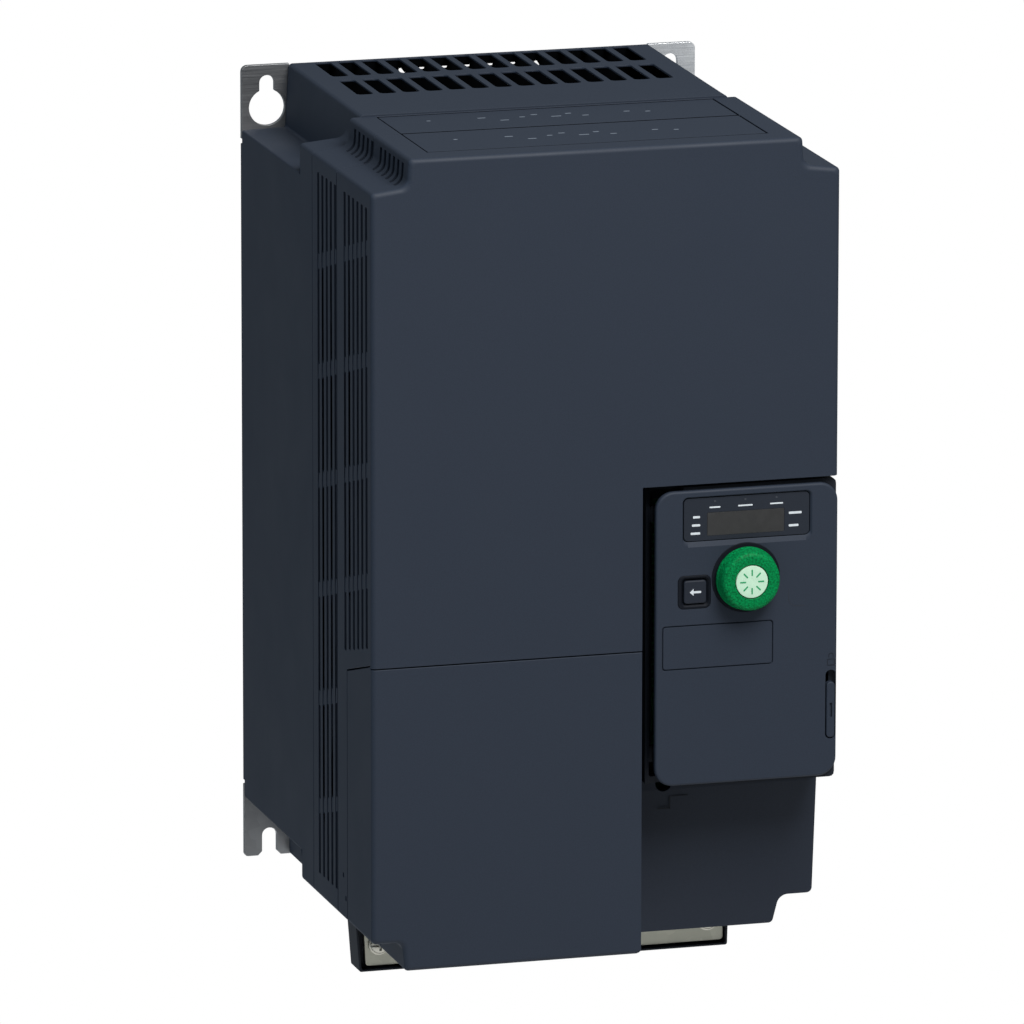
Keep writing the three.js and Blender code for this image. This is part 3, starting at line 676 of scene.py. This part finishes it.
def louvre_columns(first, count):
    return [first - i * LOUVRE_PITCH for i in range(count)]


def bridge_heights(y, lowest):
    """Centres of the bridges across the louvres at y; each row climbs towards the front."""
    heights = []
    height = BRIDGE_HIGHEST + BRIDGE_SLOPE * (VENT_COLUMNS[0] - y)
    while height > lowest + BRIDGE:
        heights.append(height)
        height -= BRIDGE_PITCH
    return heights


def louvre_cutters(columns, top, lowest_at):
    """Long slots, and the shallow recesses that set the bridges below the surface."""
    slots, recesses = [], []
    for y in columns:
        across = (y - LOUVRE_WIDTH / 2, y + LOUVRE_WIDTH / 2)
        lowest = lowest_at(y)
        bridges = bridge_heights(y, lowest)
        ends = [top] + [z + sign * BRIDGE / 2 for z in bridges for sign in (1, -1)] + [lowest]
        for side in (-1, 1):
            x = sorted((side * (HALF - WALL - MM), side * (HALF + MM)))
            for high, low in zip(ends[::2], ends[1::2]):
                slots.append(prism(rectangle(*across, low, high, 0.7 * MM), "x", x[0], x[1], 3))
            x = sorted((side * (HALF - BRIDGE_SUNK), side * (HALF + MM)))
            for z in bridges:
                recesses.append(block(x, across, (z - BRIDGE / 2 - MM, z + BRIDGE / 2 + MM)))
    return slots, recesses


def shoulder_cutters(columns):
    across, up = SHOULDER_SLOT
    return [
        block(sorted(side * x for x in across), (y - LOUVRE_WIDTH / 2, y + LOUVRE_WIDTH / 2), up)
        for y in columns
        for side in (-1, 1)
    ]


def strip_ends(node):
    """Where a strip begins and ends along Y; the two strips nearly meet over the seam."""
    low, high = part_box(node)
    front = SEAM_MIDDLE + STRIP_GAP / 2 if low.y > VENT_LOW.y else low.y + STRIP_GROOVE
    rear = SEAM_MIDDLE - STRIP_GAP / 2 if high.y < VENT_LOW.y else high.y - STRIP_GROOVE
    return front, rear


def strip_pocket(node):
    low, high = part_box(node)
    front, rear = strip_ends(node)
    return block(
        (low.x - SEAM, high.x + SEAM),
        (front - STRIP_GROOVE - SEAM, rear + STRIP_GROOVE + SEAM),
        (low.z - SEAM, TOWER_TOP + MM),
    )


def body_ring(front, rear, wall):
    ring = prism(body_outline(), "y", front, rear)
    return combine(ring, prism(body_outline(wall), "y", front - MM, rear + MM))


def rimmed_body(rear):
    """The body's section from its rounded front rim back to rear."""
    sections = []
    for step in range(RIM_STEPS + 1):
        angle = math.pi / 2 * (1 - step / RIM_STEPS)
        sections.append((body_outline(RIM * (1 - math.cos(angle))), FRONT + RIM * (1 - math.sin(angle))))
    return stack(sections + [(body_outline(), rear)], "y")


VENT_COLUMNS = louvre_columns(-111.8 * MM, 5)
COVER_COLUMNS = louvre_columns(-148.6 * MM, 6)


def vent_shell():
    rear = VENT_HIGH.y - WIDE_SEAM
    shell = body_ring(VENT_LOW.y + WIDE_SEAM, rear, WALL + 0.3 * MM)
    # A rear web closes the step down to the narrower tower behind.
    combine(shell, body_ring(rear - 1.8 * MM, rear, 2 * WALL + MM), "UNION")
    for cutters in louvre_cutters(VENT_COLUMNS, LOUVRE_TOP[0], lambda y: -134 * MM):
        combine(shell, cutters)
    combine(shell, shoulder_cutters(VENT_COLUMNS))
    combine(shell, strip_pocket("top_strip_rear"))
    middle = (VENT_LOW.y + VENT_HIGH.y) / 2
    holes = [
        rod("z", radius * MM, FOOT_BOTTOM - PAST, FOOT_BOTTOM + 4 * MM, (x * MM, middle), 40)
        for x, radius in CABLE_HOLES
    ]
    combine(shell, holes)
    soften(tidy(shell), 0.16 * MM)
    return moulding(shell, "vent_shell")


def terminal_side(grow):
    """The terminal cover seen from the side, in (y, z); its top edge slopes down to the rear."""
    front, rear = FRONT - 2 * MM, TERMINAL_HIGH.y + grow
    step, low = FRONT + 2 * MM, FOOT_BOTTOM - 2 * MM
    edge, behind_rim, at_rear = -38.4 * MM + grow, -37.5 * MM + grow, -46.4 * MM + grow
    return [
        (front, edge, 0),
        (step, edge, 0),
        (step + 0.3 * MM, behind_rim, 0),
        (rear, at_rear, 0),
        (rear, low, 0),
        (front, low, 0),
    ]


def cover_louvre_foot(y):
    """The lower ends of the cover's louvres climb towards the front with the terminal cover's top."""
    return -39 * MM + (COVER_COLUMNS[0] - y) * 7.4 / 29.5


def front_cover():
    cover = rimmed_body(COVER_HIGH.y - WIDE_SEAM)
    cut(cover, body_outline(WALL + 0.3 * MM), "y", FRONT + WALL, COVER_HIGH.y + MM)
    bay_left, depth = BAY_LOW.x - SEAM, (FRONT - PAST, BAY_HIGH.y + SEAM)
    cut(cover, terminal_side(COVER_SEAM), "x", -HALF - PAST, bay_left + 0.1 * MM)
    combine(cover, block((bay_left, HALF + PAST), depth, (FOOT_BOTTOM - PAST, BAY_TOP)))
    for cutters in louvre_cutters(COVER_COLUMNS, LOUVRE_TOP[1], cover_louvre_foot):
        combine(cover, cutters)
    combine(cover, shoulder_cutters([y + 1.2 * MM for y in COVER_COLUMNS]))
    combine(cover, strip_pocket("top_strip_front"))
    pin_holes = [rod("x", MM, -HALF - PAST, -HALF + 1.5 * MM, (y * MM, z * MM), 16) for y, z in PIN_HOLES]
    combine(cover, pin_holes)
    soften(tidy(cover), 0.16 * MM)
    return moulding(cover, "front_cover")


def terminal_cover():
    right, rear = TERMINAL_HIGH.x, TERMINAL_HIGH.y
    low, ceiling = FOOT_BOTTOM - PAST, -36.8 * MM
    cover = rimmed_body(rear)
    combine(cover, prism(terminal_side(0), "x", -HALF - PAST, right), "INTERSECT")
    rounded = rectangle(-HALF - 5 * MM, right, FOOT_BOTTOM, 20 * MM, 2.2 * MM)
    combine(cover, prism(rounded, "y", FRONT - PAST, rear + PAST), "INTERSECT")
    hollow = prism(body_outline(WALL), "y", FRONT + WALL, rear + PAST)
    room = block((-HALF, right - WALL), (FRONT - PAST, rear + 2 * MM), (low, ceiling))
    combine(cover, combine(hollow, room, "INTERSECT"))
    # The right side stops short, where the control bay stands.
    combine(cover, block((right - 4 * MM, right + PAST), (BAY_LOW.y - SEAM, rear + PAST), (low, ceiling)))
    soften(tidy(cover), 0.25 * MM, 3)
    return moulding(cover, "terminal_cover", "terminal_cover")


def control_bay():
    rear, floor, low = BAY_HIGH.y, BAY_LOW.y, BAY_LOW.z - 0.8 * MM
    tilt, foot = BAY_TILT
    depth = (-170 * MM, -140 * MM)
    opening_x, opening_z = BAY_OPENING

    def profile(inwards):
        back = rear + (PAST if inwards else 0)
        return [
            (floor + inwards, BAY_HIGH.z - inwards, 0),
            (floor + inwards, tilt, 0),
            (foot + inwards, low + inwards, 0),
            (back, low + inwards, 0),
            (back, BAY_HIGH.z - inwards, 0),
        ]

    outer = prism(profile(0), "x", BAY_LOW.x, HALF)
    combine(outer, prism(body_outline(), "y", *depth), "INTERSECT")
    inner = prism(profile(WALL), "x", BAY_LOW.x + WALL, HALF - WALL)
    combine(outer, combine(inner, prism(body_outline(WALL), "y", *depth), "INTERSECT"))
    combine(outer, block(opening_x, (depth[0], rear + PAST), opening_z))
    combine(outer, rod("y", 3.1 * MM, depth[0], -157 * MM, BAY_HOLE, 32))
    soften(tidy(outer))
    # The bay takes the darkened body plastic: painted shade under the door.
    moulding(outer, "control_bay", "housing", SHADED_BAY)
    return printed("bay_marks", scaled(BAY_MARKS), -161 * MM, ENGRAVED, "housing", "dark_plastic")


def top_strip(node):
    low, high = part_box(node)
    top = high.z - 0.1 * MM
    front, rear = strip_ends(node)
    strip = prism(rectangle(low.x + SEAM, high.x - SEAM, front, rear, 0.4 * MM), "z", low.z, top)
    soften(strip, 0.2 * MM)
    # The groove around it is lined near-black: painted shade in the groove.
    ditch = rectangle(low.x, high.x, front - STRIP_GROOVE, rear + STRIP_GROOVE, 0.5 * MM)
    shade_bed = prism(ditch, "z", low.z, top - 0.1 * MM)
    around = rectangle(low.x + 0.2 * MM, high.x - 0.2 * MM, front - 0.1 * MM, rear + 0.1 * MM, 0.5 * MM)
    cut(shade_bed, around, "z", low.z - PAST, top + PAST)
    place(shade_bed, node + "_groove_shade", "housing", SHADE_BLACK, "black_plastic")
    moulding(strip, node)
    middle = (low.y + high.y) / 2
    dashes = []
    for share, shift, length in DASHES:
        x, y = low.x + share * (high.x - low.x), middle + shift * MM
        corners = rectangle(x, x + length * MM, y - 0.5 * MM, y + 0.5 * MM, 0.4 * MM)
        dashes.append(prism(corners, "z", top - MARK_SUNK, top + 0.05 * MM, 3))
    place(merged(dashes), node + "_dashes", "housing", FAINT_PRINT, "cap_pale")


# ---- foot ----
def bottom_frame():
    low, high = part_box("bottom_frame")
    plate_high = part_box("earth_plate")[1]

    def ring(side, below, above):
        return [
            (-71.3 * MM + side, low.z + below, 0.9 * MM),
            (74.3 * MM - side, low.z + below, 0.9 * MM),
            (high.x - side, high.z - above, 0.6 * MM),
            (low.x + side, high.z - above, 0.6 * MM),
        ]

    bracket = prism(ring(0, 0, 0), "y", low.y, high.y)
    cut(bracket, ring(0.9 * MM, 0.9 * MM, 2.6 * MM), "y", low.y - MM, plate_high.y + SEAM)
    combine(bracket, block((-60 * MM, 60 * MM), (low.y - MM, high.y + MM), (low.z + 8 * MM, high.z - 4 * MM)))
    soften(tidy(bracket), 0.3 * MM)
    return place(bracket, "bottom_frame_bracket", "housing", DARK_AND_SHADE, "dark_plastic", "bottom_frame")


def earth_plate():
    low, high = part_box("earth_plate")
    corners = [
        (low.x + 0.9 * MM, low.z, 1.5 * MM),
        (high.x, low.z, 1.5 * MM),
        (high.x, high.z, 1.5 * MM),
        (low.x, high.z, 1.5 * MM),
    ]
    plate = prism(corners, "y", low.y, high.y)
    holes = [rod("y", r * MM, low.y - PAST, high.y + PAST, (x * MM, z * MM), 24) for x, z, r in EARTH_HOLES]
    combine(plate, holes)
    soften(tidy(plate), 0.3 * MM)
    return place(plate, "earth_plate_sheet", "housing", EARTH, "galvanised_steel", "earth_plate")


def pan_head(node):
    """A slotted pan-head screw with a domed head and a washer face."""
    low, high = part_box(node)
    x, z = centre_of(node)
    radius = high.x - x
    angles = (1.5, 1.2, 0.9, 0.6, 0.3, 0)
    dome = [(radius * math.cos(a), low.y + radius * 0.3 * (1 - math.sin(a))) for a in angles]
    seat, shank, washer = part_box("earth_plate")[0].y - SEAM, 2.1 * MM, radius + 0.7 * MM
    profile = [
        (0, low.y),
        *dome,
        (radius, seat - 0.5 * MM),
        (washer, seat - 0.45 * MM),
        (washer, seat),
        (shank, seat),
        (shank, high.y),
        (0, high.y),
    ]
    screw = turned(profile, (x, z), 40)
    reach = radius + MM
    for across, up in ((reach, 0.5 * MM), (0.45 * MM, radius * 0.62)):
        combine(screw, block((x - across, x + across), (low.y - MM, low.y + 1.1 * MM), (z - up, z + up)))
    soften(tidy(screw), 0.12 * MM)
    return place(screw, node + "_turned", "housing", STEEL, "bright_steel", node)


# ---- keypad door ----
BEZEL_LOW, BEZEL_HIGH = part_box("display_bezel")
WINDOW_LOW, WINDOW_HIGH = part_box("display_window")
BEZEL_FRONT = BEZEL_LOW.y + 0.55 * MM
ESC_LOW, ESC_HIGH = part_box("esc_button")
DIAL_LOW, DIAL_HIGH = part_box("jog_dial")
ESC_CENTRE, DIAL_CENTRE = centre_of("esc_button"), centre_of("jog_dial")
SLIDER_X = centre_of("lock_slider")[0]
LOCK_TOP, LOCK_BOTTOM, LOCK_HALF = -50 * MM, -76.4 * MM, 2.05 * MM
ESC_HALF = ESC_HIGH.x - ESC_CENTRE[0]
POCKET_CENTRE = (34.25 * MM, -16.75 * MM)
POCKET_HALF = 6.4 * MM
POCKET_DEPTH = 1.1 * MM
DIAL_POCKET = 13.2 * MM  # radius
FIELD = (21.8 * MM, 65 * MM, -46.1 * MM, -29.2 * MM)  # the label field's outline
FIELD_LINE = 0.46 * MM
# A faint curved mark beside the dial: corners (x, z, radius) in mm.
HOOK = (
    (70.9, -17.5, 0), (70.9, -24.6, 3), (77.5, -24.6, 0),
    (77.5, -24.4, 0), (71.1, -24.4, 2.8), (71.1, -17.5, 0),
)
# A padlock outline, as outer and inner rectangles (half width, bottom, top, radius) in mm from its top.
PADLOCK_TOP = -43.4 * MM
PADLOCK = (
    ((1.5, -4.9, -2.3, 0.3), (1.2, -4.6, -2.6, 0)),
    ((1.0, -2.25, 0, 0.95), (0.7, -3, -0.3, 0.65)),
)
# Generic legends on the foil, in mm: words (x, z, width), and the middle and width of the bars above.
WORDS = ((33.8, 11.2, 2.7), (33.4, 8.1, 3.2), (32.9, 5.0, 3.7), (71.0, 10.6, 5.0), (71.0, 5.8, 3.8))
UPPER_BARS = ((42.3, 4.2), (54.1, 5.6), (66.2, 5.0))
# A return arrow: corners in mm from the middle of the key.
ARROW = ((-2.2, 0), (-0.7, 1.3), (-0.7, 0.4), (2.2, 0.4), (2.2, -0.4), (-0.7, -0.4), (-0.7, -1.3))
# The knob from back to front as (radius, y) in mm: y from its back, then y from its front.
KNOB_BACK = ((0, -1.4), (3.2, -1.4), (3.2, 0), (11.7, 0), (12, -0.4), (12, -1.2), (11.75, -1.7), (11.6, -2.2))
KNOB_FRONT = (
    (11.45, 3), (11.2, 1.6), (10.85, 0.75), (10.2, 0.2), (9.3, 0),
    (6.8, 0), (6.5, 0.25), (6.5, 1.3), (0, 1.3),
)
TICKS = 8


def sunk(door, box, radius, widths, depth):
    """Cuts a pocket with sloping sides into the door; widths are the left, right, bottom and top slopes."""
    above = 0.3 * MM
    left, right, bottom, top = (width * (1 + above / depth) for width in widths)
    mouth = rectangle(box[0] - left, box[1] + right, box[2] - bottom, box[3] + top, radius + widths[0])
    combine(door, loft(mouth, rectangle(*box, radius), "y", FRONT - above, FRONT + depth))


def hmi_door():
    rear = DOOR_HIGH.y
    through = (FRONT - PAST, rear + PAST)
    pocket = (FRONT - PAST, FRONT + POCKET_DEPTH)
    door = prism(rectangle(DOOR_LOW.x, DOOR_HIGH.x, DOOR_LOW.z, DOOR_HIGH.z, 7 * MM), "y", FRONT, rear, 10)
    round_rim(door, "y", FRONT, 1.0 * MM)
    display = (BEZEL_LOW.x - SEAM, BEZEL_HIGH.x + SEAM, BEZEL_LOW.z - SEAM, BEZEL_HIGH.z + SEAM)
    sunk(door, display, 1.9 * MM, (0.5 * MM, 0.7 * MM, 1.9 * MM, 0.4 * MM), 0.75 * MM)
    cut(door, rectangle(*display, 1.9 * MM), "y", *through)
    cut(door, square(POCKET_CENTRE, POCKET_HALF, 2.3 * MM), "y", *pocket)
    cut(door, square(ESC_CENTRE, ESC_HALF + SEAM, 1.2 * MM), "y", *through)
    combine(door, rod("y", 3.6 * MM, *through, DIAL_CENTRE))
    lock = rectangle(SLIDER_X - LOCK_HALF, SLIDER_X + LOCK_HALF, LOCK_BOTTOM, LOCK_TOP, 2.0 * MM)
    cut(door, lock, "y", *through)
    combine(door, rod("y", DIAL_POCKET, *pocket, DIAL_CENTRE, 96))
    # The label field is outlined by a shallow groove.
    groove = prism(rectangle(*FIELD, 1.2 * MM), "y", FRONT - PAST, FRONT + 0.7 * MM)
    cut(groove, drawn_in(FIELD, FIELD_LINE, MM), "y", FRONT - 2 * MM, FRONT + MM)
    combine(door, groove)
    soften(tidy(door), 0.16 * MM)
    moulding(door, "hmi_door", "door")
    mark = prism(scaled(HOOK), "y", FRONT - 0.04 * MM, FRONT + MARK_SUNK)
    place(mark, "door_corner_mark", "door", FAINT_MARK, "body_plastic")


def pocket_shades():
    """The near-black linings of the pockets around the key and the dial: painted shade in these hollows and a
    painted shadow ring at the dial's foot.
    """
    face, floor = FRONT - 0.05 * MM, FRONT + MM
    surround = prism(square(POCKET_CENTRE, POCKET_HALF - 0.05 * MM, 2.3 * MM), "y", face, floor)
    round_rim(surround, "y", face, 0.35 * MM, 3)
    mouth = square(ESC_CENTRE, ESC_HALF + 1.3 * MM, 1.9 * MM)
    hole = square(ESC_CENTRE, ESC_HALF + SEAM, 1.2 * MM)
    combine(surround, loft(mouth, hole, "y", FRONT - 0.2 * MM, FRONT + 0.8 * MM))
    cut(surround, hole, "y", FRONT, FRONT + 2 * MM)
    place(surround, "esc_pocket_shade", "door", POCKET_SHADE, "dark_plastic")
    # A near-black ring around the dial's foot: painted shadow.
    bore, rim = 4 * MM, DIAL_POCKET - 0.05 * MM
    slope = [(rim - 0.2 * MM, face), (rim, FRONT + 0.1 * MM)]
    seat = turned([(bore, face), *slope, (rim, floor), (bore, floor), (bore, face)], DIAL_CENTRE, 96)
    place(seat, "dial_shadow_ring", "door", POCKET_SHADE, "black_plastic")


def display_bezel():
    front, rear = BEZEL_FRONT, BEZEL_HIGH.y
    plate = prism(rectangle(BEZEL_LOW.x, BEZEL_HIGH.x, BEZEL_LOW.z, BEZEL_HIGH.z, 1.8 * MM), "y", front, rear)
    pane = (WINDOW_LOW.x, WINDOW_HIGH.x, WINDOW_LOW.z, WINDOW_HIGH.z)
    cut(plate, drawn_in(pane, -0.08 * MM, 0.5 * MM), "y", front - PAST, rear + PAST)
    soften(tidy(plate), 0.08 * MM)
    place(plate, "display_bezel_foil", "door", BEZEL, "dark_plastic", "display_bezel")
    window = prism(rectangle(*pane, 0.4 * MM), "y", front - MARK_SUNK, WINDOW_HIGH.y)
    soften(window, 0.08 * MM)
    place(window, "display_window_pane", "door", PANE, "display_pane", "display_window")


def printed(name, bars, front, material, body, slot):
    """Flat printed marks, each a thin raised bar (x, z, width, height) on a face at y = front."""
    marks = [
        prism(rectangle(x, x + w, z, z + h, min(w, h) * 0.3), "y", front - MARK_HEIGHT, front + MARK_SUNK, 3)
        for x, z, w, h in bars
    ]
    return place(merged(marks), name, body, material, slot)


def legends():
    """Generic bars and dots where the real foil is lettered."""
    bars = [(x, z, width, 0.85) for x, z, width in WORDS]
    bars += [(x - width / 2, 14.75, width, 0.55) for x, width in UPPER_BARS]
    printed("display_legends", scaled(bars), BEZEL_FRONT, PRINT, "door", "cap_pale")
    dots = [(x - 0.35, 17, 0.7, 0.7) for x, width in UPPER_BARS]
    printed("display_dots", scaled(dots), BEZEL_FRONT, DOT_PRINT, "door", "cap_pale")


def esc_button():
    x, z = ESC_CENTRE
    front = ESC_LOW.y
    key = prism(square(ESC_CENTRE, ESC_HALF, 1.2 * MM), "y", front, ESC_HIGH.y)
    round_rim(key, "y", front, 0.6 * MM, 3)
    place(key, "esc_button_key", "esc_key", KEY, "dark_plastic", "esc_button")
    corners = [(x + u * MM, z + v * MM, 0) for u, v in ARROW]
    mark = prism(corners, "y", front - MARK_HEIGHT, front + MARK_SUNK)
    place(mark, "esc_button_arrow", "esc_key", PRINT, "cap_pale")


def jog_dial():
    x, z = DIAL_CENTRE
    ends = ((DIAL_HIGH.y, KNOB_BACK), (DIAL_LOW.y, KNOB_FRONT))
    knob = turned([(radius * MM, end + y * MM) for end, part in ends for radius, y in part], DIAL_CENTRE, 96)
    place(knob, "jog_dial_knob", "dial", GREEN, "dial_green", "jog_dial", crease=50)
    low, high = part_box("dial_cap")
    radius = high.x - x
    edge = [(radius - 0.5 * MM, low.y), (radius - 0.12 * MM, low.y + 0.1 * MM), (radius, low.y + 0.3 * MM)]
    disc = turned([(0, low.y), *edge, (radius, high.y), (0, high.y)], DIAL_CENTRE, 64)
    place(disc, "dial_cap_disc", "dial", CAP, "cap_pale", "dial_cap")
    # A plain turning mark: a ring of short radial ticks.
    ticks = []
    for i in range(TICKS):
        corners = rectangle(-0.28 * MM, 0.28 * MM, 2.3 * MM, 4.7 * MM, 0.26 * MM)
        tick = prism(corners, "y", low.y - 0.05 * MM, low.y + MARK_SUNK, 4)
        turn = Matrix.Rotation(2 * math.pi * i / TICKS, 4, "Y")
        tick.data.transform(Matrix.Translation((x, 0, z)) @ turn)
        ticks.append(tick)
    place(merged(ticks), "dial_cap_ticks", "dial", MARK, "dial_green")


def lock_slider():
    low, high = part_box("lock_slider")
    head = prism(rectangle(low.x, high.x, low.z, high.z, 1.5 * MM), "y", low.y, -182.9 * MM)
    round_rim(head, "y", low.y, 0.5 * MM, 3)
    flange = block((low.x + 0.05 * MM, 87.1 * MM), (-183.5 * MM, -180.4 * MM), (-72 * MM, -58 * MM))
    combine(head, flange, "UNION")
    slot_x = (SLIDER_X - 0.5 * MM, SLIDER_X + 0.5 * MM)
    combine(head, block(slot_x, (low.y - PAST, low.y + 0.8 * MM), (-68 * MM, -62.6 * MM)))
    place(tidy(head), "lock_slider_bar", "lock", BODY, "dark_plastic", "lock_slider", crease=30)


def padlock_mark():
    parts = []
    for pair in PADLOCK:
        outer, inner = (
            rectangle(SLIDER_X - half, SLIDER_X + half, PADLOCK_TOP + low, PADLOCK_TOP + high, radius)
            for half, low, high, radius in scaled(pair)
        )
        part = prism(outer, "y", FRONT - 0.05 * MM, FRONT + MARK_SUNK)
        parts.append(combine(part, prism(inner, "y", FRONT - PAST, FRONT + PAST)))
    place(merged(parts), "padlock_mark", "door", DARK_AND_SHADE, "dark_plastic")


# ---- CAD pieces that keep their shape ----
def keep(node, material, width):
    """A CAD piece that stays: its own mesh with rounded edges and a new material."""
    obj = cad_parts[node]
    obj.data.materials.clear()
    obj.data.materials.append(material)
    bevel = obj.modifiers.new("round", "BEVEL")
    bevel.width = width
    bevel.segments = 2
    bevel.limit_method = "ANGLE"
    bevel.angle_limit = math.radians(40)
    obj.modifiers.new("normals", "WEIGHTED_NORMAL").keep_sharp = True


# Material, rounding in mm, and the pieces.
KEPT = (
    (ALUMINIUM, 0.2, ("heatsink",)),
    (BLACK, 0.4, ("fan_frame_left", "fan_frame_right")),
    (BLACK, 0.2, ("fan_rotor_left", "fan_rotor_right", "display_module")),
    (BLACK, 0.2, ("power_terminals", "network_socket")),
    (BLACK, 0.15, ("encoder_housing", "dial_plunger")),
    # The door base's dark plastic also paints the shade under the door.
    (DARK_AND_SHADE, 0.25, ("door_base",)),
    (BOARD, 0.1, ("keypad_board", "power_board", "control_board")),
    (STEEL, 0.15, ("hinge_pin_upper", "hinge_pin_lower")),
    (MODULE, 0.4, ("power_module",)),
    (SLEEVE, 1.2, ("capacitor_1", "capacitor_2", "capacitor_3", "capacitor_4")),
    (TERMINAL_GREEN, 0.15, ("control_terminals",)),
)


# ---- stage ----
AMBIENT = 0.24
AMBIENT_COLOUR = (0.84, 0.93, 1.0)
# Name, place, aim, width and height, power and colour.
LAMPS = (
    ("key", (0.3, -1.3, 1.55), (0, -0.18, 0.08), (1.0, 1.0), 60, (1, 1, 1)),
    ("left", (-2.4, -0.6, 0.9), (0, -0.1, 0), (1.2, 1.6), 13, (0.45, 0.72, 1.0)),
    ("top", (-0.3, -0.1, 2.2), (0, -0.1, 0), (1.5, 1.2), 1, (1, 1, 1)),
)
FLOOR_RADIUS = 2.4
FLOOR_DROP = 0.9  # the floor lies well below the drive, which hangs on a wall
LENS = 419.45
DISTANCE = 4.4948
TARGET = Vector((-9.994, -95, -3.467)) * MM
YAW, PITCH, ROLL = math.radians(16.255), math.radians(13.091), math.radians(0.069)


def studio():
    """A white surround for the camera, a dimmer one for everything it lights, and soft lamps."""
    world = bpy.data.worlds.new("studio")
    bpy.context.scene.world = world
    world.use_nodes = True
    tree = world.node_tree
    seen = tree.nodes["Background"]
    feed(tree, seen, {"Color": (1, 1, 1, 1), "Strength": 1.0})
    ambient = added(tree, "Background", {"Color": varied(AMBIENT_COLOUR, 1), "Strength": AMBIENT}, 0)
    direct = added(tree, "LightPath", {}, "Is Camera Ray")
    either = added(tree, "MixShader", {0: direct, 1: ambient, 2: seen.outputs[0]}, 0)
    feed(tree, tree.nodes["World Output"], {"Surface": either})

    floor_mesh = bmesh.new()
    bmesh.ops.create_circle(floor_mesh, cap_ends=True, segments=128, radius=FLOOR_RADIUS)
    floor = new_object(floor_mesh, "floor")
    floor.location.z = -FLOOR_DROP
    pale, tree, shader, where = node_material("pale_floor")
    tint = mixed(tree, noise(tree, where, 3.0), varied((1, 1, 1), 0.93), varied((1, 1, 1), 0.96))
    feed(tree, shader, {"Base Color": tint, "Roughness": 0.9})
    floor.data.materials.append(pale)

    for name, location, aim, size, power, colour in LAMPS:
        lamp = bpy.data.lights.new(name, "AREA")
        lamp.shape = "RECTANGLE"
        lamp.size, lamp.size_y = size
        lamp.energy = power
        lamp.color = colour
        obj = bpy.data.objects.new(name, lamp)
        obj.location = location
        obj.rotation_euler = (Vector(aim) - obj.location).to_track_quat("-Z", "Y").to_euler()
        bpy.context.scene.collection.objects.link(obj)


def camera():
    """The photograph's long-lens view from the front left, a little above."""
    lens = bpy.data.cameras.new("camera")
    lens.sensor_width = 36
    lens.lens = LENS
    obj = bpy.data.objects.new("camera", lens)
    forward = Vector((math.sin(YAW) * math.cos(PITCH), math.cos(YAW) * math.cos(PITCH), -math.sin(PITCH)))
    obj.location = TARGET - forward * DISTANCE
    obj.rotation_mode = "QUATERNION"
    turn = forward.to_track_quat("-Z", "Y").to_matrix() @ Matrix.Rotation(ROLL, 3, "Z")
    obj.rotation_quaternion = turn.to_quaternion()
    bpy.context.scene.collection.objects.link(obj)
    bpy.context.scene.camera = obj


def build():
    for make in (mounting_plate, rear_moulding, hood_shade_liner, vent_shell, front_cover, terminal_cover):
        make()
    control_bay()
    for node in ("top_strip_rear", "top_strip_front"):
        top_strip(node)
    bottom_frame()
    earth_plate()
    for node in ("earth_screw_left", "earth_screw_right"):
        pan_head(node)
    for make in (hmi_door, pocket_shades, display_bezel, legends, esc_button, jog_dial, lock_slider):
        make()
    padlock_mark()
    for material, width, nodes in KEPT:
        for node in nodes:
            keep(node, material, width * MM)
    studio()
    camera()
    bpy.context.scene.view_settings.view_transform = "Standard"


build()
